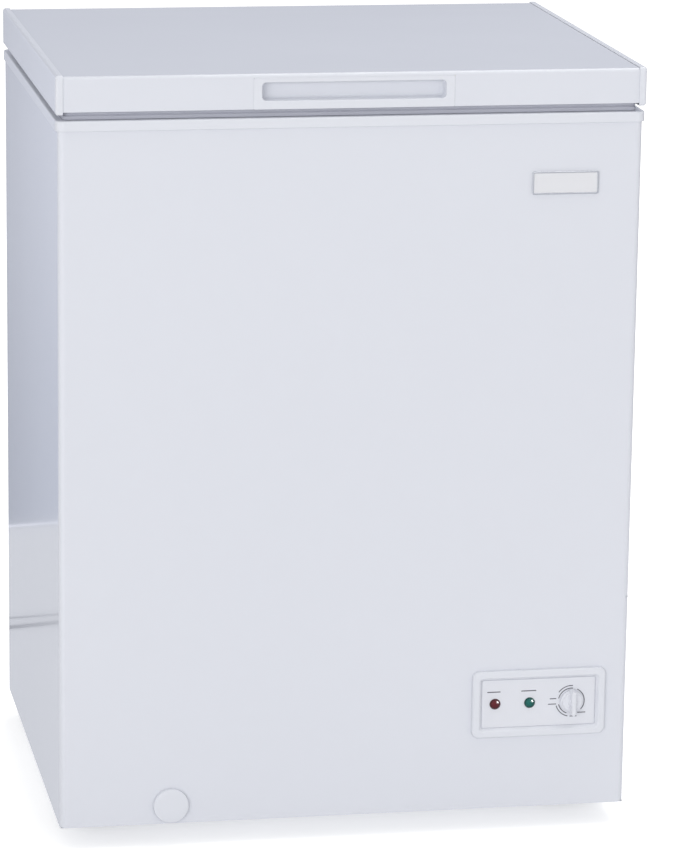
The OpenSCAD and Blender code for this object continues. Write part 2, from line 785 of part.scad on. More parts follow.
module control_bezel() {
    color([0.9, 0.91, 0.93]) difference() {
        union() {
            plate(bezel_cx, bezel_cz, bezel_w, bezel_h, y_front - bezel_proud, y_front - fit, bezel_r);
            plate(bezel_cx, bezel_cz, window_w + 4, window_h + 4, y_front - fit - eps, y_front + 12, 4);
        }
        plate(bezel_cx, bezel_cz, window_w, window_h, y_front - bezel_proud - eps, y_front + 13, 3);
    }
}

module control_fascia() {
    y1 = fascia_y + fascia_t;
    color([0.93, 0.93, 0.94]) difference() {
        plate(bezel_cx, bezel_cz, window_w - 2 * fit, window_h - 2 * fit, fascia_y, y1, 3 - fit);
        for (x = [lamp_red_x, lamp_green_x]) rod_y(x, fascia_y - eps, y1 + eps, bezel_cz, lamp_r - 1);
        rod_y(dial_x, fascia_y - eps, y1 + eps, bezel_cz, bush_r + fit);
    }
}

module control_housing() {
    y0 = y_front + 12 + fit;
    color([0.8, 0.81, 0.82]) difference() {
        plate(bezel_cx, bezel_cz, window_w + 4, window_h + 4, y0, housing_y1, 4);
        plate(bezel_cx, bezel_cz, window_w, window_h, y0 - eps, housing_y1 - housing_t, 2);
        rod_y(bezel_cx, housing_y1 - 3, housing_y1 + eps, bezel_cz, loom_r + 1);
        rod_y(dial_x, housing_y1 - 3, housing_y1 + eps, bezel_cz, bulb_r);
    }
}

// Domed lens with a stem through the fascia
module lens(x) {
    stem = lamp_r - 1 - fit;
    translate([x, fascia_y - fit, bezel_cz]) rotate([90, 0, 0]) rotate_extrude() polygon(concat(
        [[0, -fascia_t - 3], [stem, -fascia_t - 3], [stem, 0], [lamp_r + 0.5, 0], [lamp_r + 0.5, 0.8]],
        [for (a = [0:15:90]) [lamp_r * cos(a), 0.8 + 0.6 * lamp_r * sin(a)]]));
}

module lamp_lens_red() {
    color([0.45, 0.02, 0.04]) lens(lamp_red_x);
}

module lamp_lens_green() {
    color([0, 0.35, 0.32]) lens(lamp_green_x);
}

module lamp_bodies() {
    y0 = fascia_y + fascia_t + fit;
    color([0.9, 0.9, 0.88]) for (x = [lamp_red_x, lamp_green_x]) difference() {
        rod_y(x, y0, y0 + 26, bezel_cz, lamp_r + 0.6);
        rod_y(x, y0 - eps, y0 + 4, bezel_cz, lamp_r - 1);
    }
}

module thermostat() {
    color([0.75, 0.76, 0.78]) difference() {
        union() {
            block([dial_x - stat_w / 2, stat_y, bezel_cz - 15],
                  [dial_x + stat_w / 2, stat_y + stat_d, bezel_cz + 15]);
            rod_y(dial_x, fascia_y - 3.5, stat_y + eps, bezel_cz, bush_r);
        }
        rod_y(dial_x, fascia_y - 4, stat_y + 12, bezel_cz, shaft_r + pin_fit);
    }
}

module thermostat_nut() {
    color([0.7, 0.7, 0.72]) difference() {
        translate([dial_x, fascia_y - fit, bezel_cz]) rotate([90, 0, 0]) cylinder(h = 2.6, r = 7.5, $fn = 6);
        rod_y(dial_x, fascia_y - 4, fascia_y + eps, bezel_cz, bush_r + fit / 2);
    }
}

module thermostat_sensor() {
    y1 = stat_y + stat_d;
    color([0.75, 0.45, 0.3]) {
        pipe(bend([[dial_x, y1, bezel_cz], [dial_x, sensor_y, bezel_cz],
                   [dial_x, sensor_y, bay_top + 6]], 10), sensor_r, 6);
        rod_z(dial_x, sensor_y, bay_top + 6, z_step - liner_t - move_gap, bulb_r);
    }
}

module dial() {
    h0 = fascia_y - move_gap;
    color([0.95, 0.95, 0.96]) translate([dial_x, h0, bezel_cz]) rotate([90, 0, 0]) difference() {
        union() {
            rotate_extrude() polygon([[0, 0], [skirt_r - 0.8, 0], [skirt_r, 0.8], [skirt_r, 3.2],
                                      [skirt_r - 1.4, 4.4], [skirt_r - 2.6, 7], [0, 7.6]]);
            intersection() {
                translate([-grip_w / 2, -dial_r, 1.5]) cube([grip_w, 2 * dial_r, dial_h - move_gap - 1.5]);
                rotate_extrude() polygon([[0, 0], [dial_r, 0], [dial_r - 0.6, dial_h - 2],
                                          [dial_r - 2, dial_h], [0, dial_h]]);
            }
        }
        translate([0, 0, -eps]) cylinder(h = eps + 4.6, r = skirt_r - 2.8);
        cylinder(h = 10, r = shaft_r + fit / 2);
    }
}

module dial_shaft() {
    color([0.8, 0.8, 0.82]) rod_y(dial_x, fascia_y - move_gap - 9.8, stat_y + 11, bezel_cz, shaft_r);
}

// ---------- Badge plate, drain and feet ----------

module badge_plate() {
    rim = 2;
    y0 = y_front - badge_t;
    color([0.75, 0.76, 0.78]) difference() {
        plate(badge_x, badge_z, badge_w, badge_h, y0, y_front - fit, 2);
        plate(badge_x, badge_z, badge_w - 2 * rim, badge_h - 2 * rim, y0 - eps, y0 + 0.8, 1);
    }
}

// The drain's solid outline: a run to the front, an elbow block and a riser
module drain_body(r, grow) {
    rod_y(drain_x, y_front - eps, drain_y, drain_cz, r);
    rod_z(drain_x, drain_y, drain_cz, z_floor + eps, r);
    e = drain_bore_r + drain_t + 1 + grow;
    block([drain_x - e, drain_y - e, drain_cz - e], [drain_x + e, drain_y + e, drain_cz + e]);
}

module drain_tube() {
    r = drain_bore_r + drain_t;
    color([0.85, 0.86, 0.87]) difference() {
        union() {
            drain_body(r, 0);
            rod_y(drain_x, y_front - collar_t, y_front - fit, drain_cz, collar_r);
            rod_z(drain_x, drain_y, z_floor + fit, z_floor + 1, r + 4);
        }
        rod_y(drain_x, y_front - collar_t - eps, drain_y, drain_cz, drain_bore_r);
        rod_z(drain_x, drain_y, drain_cz, z_floor + 2, drain_bore_r);
    }
}

module drain_cap() {
    wall = 1.5;
    y0 = y_front - move_gap;
    color([0.93, 0.94, 0.96]) translate([drain_x, y0, drain_cz]) rotate([90, 0, 0]) difference() {
        union() {
            rotate_extrude() polygon([[0, 0], [drain_cap_r, 0], [drain_cap_r, cap_h - 1.8],
                                      [drain_cap_r - 1.2, cap_h - 0.5], [drain_cap_r - 4, cap_h],
                                      [0, cap_h + 0.4]]);
            translate([0, 0, -16]) cylinder(h = 17, r = drain_bore_r - fit);
        }
        difference() {
            translate([0, 0, -eps]) cylinder(h = cap_h - wall + eps, r = drain_cap_r - wall);
            translate([0, 0, -2 * eps]) cylinder(h = cap_h + 2, r = drain_bore_r - fit);
        }
        translate([0, 0, -16 - eps]) cylinder(h = 16, r = drain_bore_r - 2);
    }
}

module drain_plug() {
    z0 = z_floor + 1 + move_gap;
    color([0.3, 0.32, 0.34]) {
        translate([drain_x, drain_y, z0]) rotate_extrude() polygon([
            [0, -14], [drain_bore_r - 1.5, -14], [drain_bore_r - fit, -9], [drain_bore_r - fit, 0],
            [drain_bore_r + 5, 0], [drain_bore_r + 5, 2.5], [drain_bore_r + 3.5, 4], [3.5, 4],
            [3.5, 9], [5, 10], [5, 13], [4, 14], [0, 14]]);
    }
}

module feet() {
    color([0.2, 0.2, 0.21]) for (p = foot_places) translate([p.x, p.y, 0]) difference() {
        rotate_extrude() polygon([[0, 0], [foot_r - 1, 0], [foot_r, 1], [foot_r, 6],
                                  [foot_r * 0.75, 9], [foot_r * 0.7, foot_h], [0, foot_h]]);
        translate([0, 0, -eps]) cylinder(h = 8 + eps, r = foot_screw_r + 3.5);
        cylinder(h = foot_h + eps, r = foot_screw_r + fit);
    }
}

module foot_screws() {
    color([0.7, 0.7, 0.72]) for (p = foot_places) {
        rod_z(p.x, p.y, 5, 8 - fit, foot_screw_r + 2.5);
        rod_z(p.x, p.y, 8 - fit, z_base + 12, foot_screw_r);
    }
}

module foot_holes() {
    for (p = foot_places) rod_z(p.x, p.y, z_base - eps, z_base + 13, foot_screw_r + fit);
}

// ---------- Hinges ----------

module hinge_bases() {
    color([0.72, 0.73, 0.75]) both_sides() difference() {
        union() {
            block([-ear_x, y_back, base_z0], [ear_x, y_back + ear_t, base_z0 + base_h]);
            for (x = [-ear_x, ear_x - ear_t]) {
                w = ear_r - 0.4;
                translate([x, 0, 0]) rotate([90, 0, 90]) linear_extrude(ear_t) polygon([
                    [y_back + 1, base_z0 + 20], [pin_y + w, pin_z - 30], [pin_y + w, pin_z],
                    [pin_y - w, pin_z], [y_back + 1, base_z0 + base_h]]);
                rod_x(x, x + ear_t, pin_y, pin_z, ear_r);
            }
        }
        rod_x(-ear_x - eps, ear_x + eps, pin_y, pin_z, pin_r + fit / 5);
        for (s = hinge_screws) rod_y(s.x, y_back - eps, y_back + 5, s.y, screw_r + fit);
    }
}

module hinge_pins() {
    color([0.8, 0.8, 0.82]) both_sides() {
        rod_x(-ear_x - fit, ear_x + fit, pin_y, pin_z, pin_r);
        for (x = [-ear_x - 1.6, ear_x + fit]) rod_x(x, x + 1.5, pin_y, pin_z, pin_r + 1.5);
    }
}

module hinge_base_screws() {
    color([0.7, 0.7, 0.72]) both_sides() for (s = hinge_screws)
        translate([s.x, y_back + ear_t, s.y]) mirror([0, 1, 0]) screw_y(9);
}

module hinge_covers() {
    x1 = ear_x + 3.5;
    y1 = pin_y + ear_r + move_gap;
    z0 = base_z0 - 3;
    z1 = pin_z + 3;
    color([0.9, 0.91, 0.93]) both_sides() difference() {
        block([-x1 - cover_t, y_back + fit, z0 - cover_t], [x1 + cover_t, y1 + cover_t, z1]);
        block([-x1, y_back - eps, z0], [x1, y1, z1 + eps]);
        block([-x1 - 2 * cover_t, y_back - eps, z_rim - 5], [x1 + 2 * cover_t, pin_y - ear_r - 1, z1 + eps]);
    }
}

module hinge_arms() {
    y0 = skin_y1 + fit;
    gap_x = knuckle_x0;
    color([0.72, 0.73, 0.75]) both_sides() difference() {
        union() {
            block([-knuckle_x1, y0, pin_z - 3], [knuckle_x1, y0 + leaf_t, pin_z + arm_h]);
            for (x = [-knuckle_x1, gap_x]) {
                rod_x(x, x + knuckle_x1 - gap_x, pin_y, pin_z, knuckle_r);
                block([x, y0 + 1, pin_z - 3], [x + knuckle_x1 - gap_x, pin_y, pin_z + 3]);
            }
        }
        rod_x(-ear_x, ear_x, pin_y, pin_z, pin_r + pin_fit);
        block([-gap_x, y0 - eps, pin_z - 4], [gap_x, pin_y, pin_z + 9]);
        for (s = arm_screws) rod_y(s.x, y0 - eps, y0 + leaf_t + eps, s.y, screw_r + fit);
    }
}

module hinge_arm_screws() {
    color([0.7, 0.7, 0.72]) both_sides() for (s = arm_screws)
        translate([s.x, skin_y1 + fit + leaf_t, s.y]) mirror([0, 1, 0]) screw_y(11);
}

// Torsion spring round the pin, with a leg on the bracket and a leg on the arm
module hinge_springs() {
    wire = 0.8;
    mean = pin_r + 1.7;
    coils = 8;
    step = 30;
    span = 2 * knuckle_x0 - 3;
    leg = 28;
    arm_y = skin_y1 + fit + leaf_t + wire + 0.1;
    base_y = y_back + ear_t + wire + 0.1;
    helix = [for (a = [0:step:360 * coils])
        [-span / 2 + span * a / (360 * coils), pin_y + mean * cos(a), pin_z + mean * sin(a)]];
    color([0.35, 0.35, 0.37]) both_sides() pipe(concat(
        [[-span / 2, base_y, pin_z - leg], [-span / 2, base_y + 2, pin_z - leg * 0.75],
         [-span / 2, pin_y + mean, pin_z - 10]],
        helix,
        [[span / 2, pin_y + mean - 1, pin_z + 6], [span / 2, arm_y, pin_z + leg / 2]]), wire, 6);
}

// ---------- Lid ----------

// Outline of the lid's cross-section, rounded at its two top edges
function arch(y0, y1, z0, z1, r) = concat(
    [[y0, z0], [y1, z0]],
    [for (a = [0:15:90]) [y1 - r + r * cos(a), z1 - r + r * sin(a)]],
    [for (a = [90:15:180]) [y0 + r + r * cos(a), z1 - r + r * sin(a)]]);

// Extrudes a cross-section across the lid
module across(x0, x1) {
    translate([x0, 0, 0]) rotate([90, 0, 90]) linear_extrude(x1 - x0) children();
}

module lid_skin() {
    color([0.9, 0.91, 0.94]) difference() {
        across(-skin_x, skin_x) polygon(arch(skin_y0, skin_y1, z_edge, skin_z, skin_r));
        across(-skin_x - eps, skin_x + eps)
            polygon(arch(skin_y0 + sheet_t, skin_y1 - sheet_t, z_edge + sheet_t, skin_z - sheet_t,
                         skin_r - sheet_t));
        block([-skin_x - eps, skin_y0 + hem_w, z_edge - eps], [skin_x + eps, skin_y1 - hem_w, z_edge + 2]);
        block([-insert_w / 2 - fit, skin_y0 - eps, z_edge - eps],
              [insert_w / 2 + fit, skin_y0 + hem_w + eps, insert_z1 + fit]);
        both_sides() for (s = arm_screws) rod_y(s.x, skin_y1 - 3, skin_y1 + eps, s.y, screw_r + fit);
    }
}

// Side cap: a shallow channel over the end of the skin
module lid_cap() {
    x0 = lid_x - cap_w;
    difference() {
        slab(x0 - 8, lid_y0, lid_x, lid_y1, z_edge - cap_drop, total_h, 3, 3);
        block([x0 - 9, lid_y0 - eps, z_edge - cap_drop - eps], [x0, lid_y1 + eps, total_h + eps]);
        block([x0 - eps, lid_y0 + cap_t, z_edge - cap_drop + cap_t],
              [lid_x - cap_wall, lid_y1 - cap_t, total_h - cap_t]);
    }
}

module lid_cap_right() {
    color([0.91, 0.92, 0.94]) lid_cap();
}

module lid_cap_left() {
    color([0.91, 0.92, 0.94]) mirror([1, 0, 0]) lid_cap();
}

module lid_panel() {
    t = panel_t;
    color([0.93, 0.94, 0.95]) difference() {
        union() {
            block([-skin_x, skin_y0 + sheet_t + fit, z_panel + fit],
                  [skin_x, skin_y1 - sheet_t - fit, z_panel + t]);
            slab(-plug_x, plug_y0, plug_x, plug_y1, z_plug, z_panel + t, plug_r, plug_r);
        }
        slab(-plug_x + t, plug_y0 + t, plug_x - t, plug_y1 - t, z_plug + t, z_panel + t + eps,
             plug_r - t, plug_r - t);
        handle_room(fit, z_edge - eps);
    }
}

module lid_foam() {
    t = panel_t + fit;
    color([0.93, 0.88, 0.66]) difference() {
        union() {
            across(-skin_x, skin_x) polygon(arch(skin_y0 + sheet_t + fit, skin_y1 - sheet_t - fit,
                z_panel + t, skin_z - sheet_t - fit, skin_r - sheet_t));
            slab(-plug_x + t, plug_y0 + t, plug_x - t, plug_y1 - t, z_plug + t, z_panel + t + eps,
                 plug_r - t, plug_r - t);
        }
        handle_room(fit, z_edge - eps);
        both_sides() for (s = arm_screws) rod_y(s.x, skin_y1 - 14, skin_y1, s.y, screw_r + fit);
    }
}

// Everything that the handle insert fills behind the skin
module handle_room(grow, z_low) {
    block([-insert_w / 2 - grow, skin_y0 - eps, z_low],
          [insert_w / 2 + grow, skin_y0 + insert_t + grow, insert_z1 + grow]);
    plate(0, pocket_z, pocket_w + 4 + 2 * grow, pocket_h + 4 + 2 * grow,
          skin_y0, skin_y0 + pocket_d + 2 + grow, pocket_r + 1);
}

module lid_handle() {
    color([0.93, 0.94, 0.96]) difference() {
        union() {
            block([-insert_w / 2, skin_y0, z_edge],
                  [insert_w / 2, skin_y0 + insert_t, insert_z1]);
            plate(0, pocket_z, pocket_w + 4, pocket_h + 4, skin_y0 + eps, skin_y0 + pocket_d + 2,
                  pocket_r + 1);
        }
        plate(0, pocket_z, pocket_w, pocket_h, skin_y0 - eps, skin_y0 + pocket_d, pocket_r);
    }
}

// Soft magnetic gasket: a foot, a bellows ridge and a magnet strip
module lid_gasket() {
    z0 = z_rim + move_gap;
    z3 = z_panel + fit;
    z1 = z0 + 0.35 * (z3 - z0);
    z2 = z0 + 0.62 * (z3 - z0);
    g = gasket_in;
    color([0.62, 0.63, 0.68]) union() {
        gasket_band(z0, z1, g + 1.5, g + gasket_w - 1.5);
        gasket_band(z1, z2, g, g + gasket_w);
        gasket_band(z2, z3, g + 3, g + gasket_w - 3);
    }
}

module gasket_band(z0, z1, a, b) {
    band(-lid_x, lid_y0, lid_x, lid_y1, z0, z1, gasket_r + b, a, b);
}

// ---------- Basket ----------

// Outside of a tight bend in a mesh wire
module bend_ball(p) {
    translate(p) sphere(r = ball_r);
}

// Rectangle of rails: the two side rails reach out over the ledges
module basket_frame() {
    color([0.9, 0.91, 0.92]) {
        for (x = [basket_x0, basket_x1]) rod_y(x, ly0 - rail_reach, ly1 + rail_reach, rail_z, rail_r);
        for (y = [by0, by1]) rod_x(basket_x0, basket_x1, y, rail_z, cross_r);
    }
}

// Four panels of upright wires, each welded to two level wires
module basket_walls() {
    top = rail_z - rail_r - fit;
    color([0.9, 0.91, 0.92]) {
        for (side = [[by0, lap], [by1, -lap]]) {
            for (z = hoops_z) {
                rod_x(basket_x0, basket_x1, side[0], z, wire_r);
                for (x = [basket_x0, basket_x1]) bend_ball([x, side[0], z]);
            }
            for (x = wires_x) {
                rod_z(x, side[0] + side[1], basket_floor_z, top, wire_r);
                bend_ball([x, side[0] + side[1], basket_floor_z]);
            }
        }
        for (side = [[basket_x0, lap], [basket_x1, -lap]]) {
            for (z = hoops_z) rod_y(side[0], by0 + ball_r + fit, by1 - ball_r - fit, z, wire_r);
            for (y = wires_y) {
                rod_z(side[0] + side[1], y, basket_floor_z + lap, top, wire_r);
                bend_ball([side[0] + side[1], y, basket_floor_z + lap]);
            }
        }
    }
}

// Wires that run front to back, and wires from side to side on top of them
module basket_floor() {
    inset = lap + ball_r + fit;
    color([0.9, 0.91, 0.92]) {
        for (x = wires_x) rod_y(x, by0 + inset, by1 - inset, basket_floor_z, wire_r);
        for (y = wires_y)
            rod_x(basket_x0 + inset, basket_x1 - inset, y, basket_floor_z + lap, wire_r);
    }
}

module basket_grips() {
    grip_l = 90;
    grip_r = 6.5;
    x0 = (basket_x0 + basket_x1 - grip_l) / 2;
    x1 = x0 + grip_l;
    color([0.25, 0.27, 0.3]) for (side = [[by0, lap], [by1, -lap]]) difference() {
        rod_x(x0, x1, side[0], rail_z, grip_r);
        rod_x(x0 - eps, x1 + eps, side[0], rail_z, cross_r + fit);
        for (x = wires_x) rod_z(x, side[0] + side[1], rail_z - grip_r - eps, rail_z, wire_r + fit);
    }
}

cabinet_shell();
back_panel();
base_pan();
bay_panel();
compressor_tray();
cabinet_foam();
inner_liner();
top_frame();
evaporator_coil();
condenser_coil();
compressor();
compressor_grommets();
compressor_bolts();
relay_box();
filter_drier();
discharge_line();
suction_line();
capillary_tube();
side_grille();
rear_cover();
rear_cover_screws();
cord_gland();
wiring_loom();
control_bezel();
control_fascia();
control_housing();
lamp_lens_red();
lamp_lens_green();
lamp_bodies();
thermostat();
thermostat_sensor();
thermostat_nut();
badge_plate();
drain_tube();
feet();
foot_screws();
hinge_bases();
hinge_pins();
hinge_base_screws();
hinge_covers();
hinge_springs();
lid_skin();
lid_cap_left();
lid_cap_right();
lid_foam();
lid_panel();
lid_gasket();
lid_handle();
hinge_arms();
hinge_arm_screws();
dial();
dial_shaft();
drain_cap();
drain_plug();
basket_frame();
basket_walls();
basket_floor();
basket_grips();
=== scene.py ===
import math

import bmesh
import bpy
from mathutils import Matrix, Vector


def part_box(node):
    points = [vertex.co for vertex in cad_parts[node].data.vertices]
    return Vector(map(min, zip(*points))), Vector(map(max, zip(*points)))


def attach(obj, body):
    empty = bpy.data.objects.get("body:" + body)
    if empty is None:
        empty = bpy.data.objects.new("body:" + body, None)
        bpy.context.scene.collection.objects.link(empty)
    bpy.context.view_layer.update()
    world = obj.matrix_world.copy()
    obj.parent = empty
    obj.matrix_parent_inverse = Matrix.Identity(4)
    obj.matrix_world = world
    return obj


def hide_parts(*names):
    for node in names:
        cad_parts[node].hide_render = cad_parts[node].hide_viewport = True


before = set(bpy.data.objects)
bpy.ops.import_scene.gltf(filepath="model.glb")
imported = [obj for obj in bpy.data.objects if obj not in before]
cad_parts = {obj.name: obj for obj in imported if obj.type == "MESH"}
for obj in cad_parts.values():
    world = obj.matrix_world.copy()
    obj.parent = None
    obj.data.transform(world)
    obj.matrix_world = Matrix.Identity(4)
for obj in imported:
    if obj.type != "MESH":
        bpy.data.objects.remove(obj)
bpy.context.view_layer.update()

MM = 0.001
CUT = 10 * MM  # how far a cutting shape reaches past the piece that it cuts
SHEET = 0.8 * MM  # steel sheet of the cabinet and the lid
CORNER_STEPS = 8

# The camera that was fitted to the photograph: yaw, pitch and roll are in degrees.
CAMERA_LENS = 171.76
CAMERA_PLACE = (-0.8103, -4.5039, 1.5025)
CAMERA_TURNS = (10.689, -13.601, 0.742)

# The room that the glossy panels mirror. The wall's turn is its change of depth along X.
AMBIENT = 0.66
WALL_TONE = (0.445, 0.47, 0.56, 1)
# painted shade at the foot of the wall
WALL_FOOT_SHADE = (0.325, 0.355, 0.445, 1)
WALL_DEPTH, WALL_TURN = 1.124, -0.13
FLOOR_TONE = (0.65, 0.67, 0.735, 1)
# painted pool of light that reflections see on the floor at the front left
FLOOR_PAINTED_LIGHT = (1.15, 1.17, 1.24, 1)
SKY_TONE = (0.8, 0.82, 0.87, 1)
WHITE = (1, 1, 1, 1)


# ---------- Camera, floor and light ----------

def add_object(name, data):
    obj = bpy.data.objects.new(name, data)
    bpy.context.scene.collection.objects.link(obj)
    return obj


def make_camera():
    data = bpy.data.cameras.new("camera")
    data.lens = CAMERA_LENS
    camera = add_object("camera", data)
    yaw, pitch, roll = (math.radians(a) for a in CAMERA_TURNS)
    look = Vector((math.sin(yaw) * math.cos(pitch), math.cos(yaw) * math.cos(pitch),
                   math.sin(pitch)))
    level = Vector((math.cos(yaw), -math.sin(yaw), 0))
    above = level.cross(look)
    right = level * math.cos(roll) + above * math.sin(roll)
    up = above * math.cos(roll) - level * math.sin(roll)
    turn = Matrix((right, up, -look)).transposed().to_4x4()
    camera.matrix_world = Matrix.Translation(CAMERA_PLACE) @ turn
    bpy.context.scene.camera = camera


class Nodes:
    """The nodes of one material or world, with short names for what is used often."""

    def __init__(self, owner):
        owner.use_nodes = True
        self.tree = owner.node_tree
        self.tree.nodes.clear()

    def add(self, kind, inputs=None, **settings):
        node = self.tree.nodes.new("ShaderNode" + kind)
        for key, value in settings.items():
            setattr(node, key, value)
        for key, value in (inputs or {}).items():
            if isinstance(value, bpy.types.NodeSocket):
                self.tree.links.new(value, node.inputs[key])
            else:
                node.inputs[key].default_value = value
        return node

    def place(self):
        return self.add("TexCoord").outputs["Object"]

    def blend(self, factor, first, second):
        """A colour between two colours. A Mix node keeps them in its sockets 6 and 7."""
        return self.add("Mix", {"Factor": factor, 6: first, 7: second},
                        data_type="RGBA").outputs[2]

    def spread(self, value, low, high, start=0.0, end=1.0, **settings):
        """A number that runs from low to high while the value runs from start to end."""
        return self.add("MapRange", {"Value": value, "From Min": start, "From Max": end,
                                     "To Min": low, "To Max": high}, **settings).outputs[0]

    def either(self, factor, first, second):
        """The first shader where the factor is 0 and the second where it is 1."""
        return self.add("MixShader", {0: factor, 1: first, 2: second}).outputs[0]

    def emit(self, color, strength=1.0):
        return self.add("Emission", {"Color": color, "Strength": strength}).outputs[0]

    def end(self, shader, kind="Material"):
        self.add("Output" + kind, {"Surface": shader})


def new_material(name):
    material = bpy.data.materials.new(name)
    return material, Nodes(material)


def make_world():
    """Soft light from all round. The camera sees it as white, and reflections see a paler grey."""
    world = bpy.data.worlds.new("studio")
    bpy.context.scene.world = world
    n = Nodes(world)
    path = n.add("LightPath")
    dim, mirrored, white = (
        n.add("Background", {"Color": color, "Strength": strength}).outputs[0]
        for color, strength in ((WHITE, AMBIENT), (SKY_TONE, 1.0), (WHITE, 1.0)))
    soft = n.either(path.outputs["Is Glossy Ray"], dim, mirrored)
    n.end(n.either(path.outputs["Is Camera Ray"], soft, white), "World")


def stage_plane(name, corners, material):
    mesh = bpy.data.meshes.new(name)
    mesh.from_pydata(corners, [], [(0, 1, 2, 3)])
    mesh.materials.append(material)
    plane = add_object(name, mesh)
    return plane


def make_floor():
    """A pale floor that looks white from the camera, and that lights the object like grey paper.
    Reflections see it as a grey glow, with a painted pool of light at the front left."""
    reach = 14
    material, n = new_material("studio_floor")
    plain = n.add("BsdfDiffuse", {"Color": (0.84, 0.84, 0.84, 1)}).outputs[0]
    place = n.add("SeparateXYZ", {"Vector": n.place()})
    # painted pool of light: in reflections the floor's glow is brighter towards the front left
    left, front = (n.spread(place.outputs[axis], 0.0, 1.0, -0.2, -0.9,
                            interpolation_type="SMOOTHSTEP") for axis in "XY")
    lit = n.add("Math", {0: left, 1: front}, operation="MULTIPLY")
    mirrored = n.emit(n.blend(lit.outputs[0], FLOOR_TONE, FLOOR_PAINTED_LIGHT))
    bright = n.add("BsdfDiffuse", {"Color": WHITE})
    lifted = n.add("AddShader", {0: bright.outputs[0], 1: n.emit(WHITE, 0.42)}).outputs[0]
    path = n.add("LightPath")
    soft = n.either(path.outputs["Is Glossy Ray"], plain, mirrored)
    n.end(n.either(path.outputs["Is Camera Ray"], soft, lifted))
    stage_plane("floor", [(-reach, -reach, 0), (reach, -reach, 0), (reach, reach, 0),
                          (-reach, reach, 0)], material)


def only_in_reflections(plane):
    plane.visible_camera = False
    plane.visible_diffuse = False
    plane.visible_shadow = False
    plane.visible_transmission = False


def glow_material(name, color):
    material, n = new_material(name)
    n.end(n.emit((*color, 1)))
    return material


def wall_material():
    """Blue-grey glow with painted shade, darker towards the foot of the wall, and a painted shadow of
    the freezer: darker behind it and brighter to its left. It is clear from behind."""
    material, n = new_material("studio_wall")
    place = n.add("SeparateXYZ", {"Vector": n.place()})
    x, z = place.outputs["X"], place.outputs["Z"]
    # painted shade: the wall's glow darkens towards its foot
    rise = n.spread(z, 0.0, 1.0, 0.0, 0.6, interpolation_type="SMOOTHSTEP")
    tone = n.blend(rise, WALL_FOOT_SHADE, WALL_TONE)
    # painted shadow of the freezer: the glow is dimmed behind it, raised to its left, and left plain
    # higher up and further left
    freezer_shadow = n.spread(x, 0.55, 2.0, -0.32, -0.62)
    above, beyond = n.spread(z, 0.0, 1.0, 0.75, 1.0), n.spread(x, 0.0, 1.0, -0.68, -1.0)
    level = n.add("Math", {0: above, 1: beyond}, operation="MAXIMUM")
    shade = n.add("Mix", {"Factor": level.outputs[0], "A": freezer_shadow, "B": 1.0})
    lit = n.emit(tone, shade.outputs[0])
    clear = n.add("BsdfTransparent").outputs[0]
    n.end(n.either(n.add("NewGeometry").outputs["Backfacing"], lit, clear))
    return material


def make_backdrop():
    """A studio wall behind the freezer, a pale sheet at its foot and two seams in the floor.
    They show only in reflections."""
    half_w, height, pivot, lift = 6, 4, -0.5, MM

    def depths(depth, turn):
        """A line across the floor: its depth at the left end and at the right end."""
        return [depth + turn * (side * half_w - pivot) for side in (-1, 1)]

    left, right = depths(WALL_DEPTH, WALL_TURN)
    only_in_reflections(stage_plane(
        "backdrop", [(-half_w, left, 0), (half_w, right, 0), (half_w, right, height),
                     (-half_w, left, height)], wall_material()))
    seam = glow_material("studio_seam", (0.16, 0.17, 0.21))
    edge = glow_material("studio_sheet_edge", (0.45, 0.47, 0.52))
    pale = glow_material("studio_sheet", (1.05, 1.08, 1.25))
    for name, depth, width, turn, material in (
            ("seam_near", 0.624, 0.016, -0.22, seam),
            ("seam_far", 0.657, 0.008, -0.13, seam),
            ("sheet", WALL_DEPTH - 0.013, 0.012, WALL_TURN, pale),
            ("sheet_edge", WALL_DEPTH - 0.025, 0.01, WALL_TURN, edge)):
        (a, b), (c, d) = depths(depth, turn), depths(depth + width, turn)
        only_in_reflections(stage_plane(
            name, [(-half_w, a, lift), (half_w, b, lift), (half_w, d, lift), (-half_w, c, lift)],
            material))


def add_lamp(name, place, target, size, power):
    data = bpy.data.lights.new(name, "AREA")
    data.shape = "RECTANGLE"
    data.size, data.size_y = size
    data.energy = power
    lamp = add_object(name, data)
    lamp.location = place
    lamp.visible_camera = False
    lamp.rotation_mode = "QUATERNION"
    lamp.rotation_quaternion = (Vector(target) - Vector(place)).to_track_quat("-Z", "Y")
    return lamp


def make_studio():
    make_world()
    make_floor()
    make_backdrop()
    middle = (0, 0, 0.45)
    # Place, target, size in metres and power in watts.
    key = add_lamp("key_lamp", (-3.9, -7.0, 2.0), middle, (3.8, 2.8), 175)
    fill = add_lamp("fill_lamp", (1.9, -4.6, 1.5), middle, (1.8, 1.8), 16.5)
    add_lamp("top_lamp", (1.0, 0.0, 3.5), middle, (2.0, 1.6), 24)
    add_lamp("back_lamp", (1.2, 4.4, 3.2), middle, (2.4, 1.6), 30)
    for lamp in (key, fill):
        lamp.visible_glossy = False
    bpy.context.scene.view_settings.view_transform = "Standard"


# ---------- Materials ----------

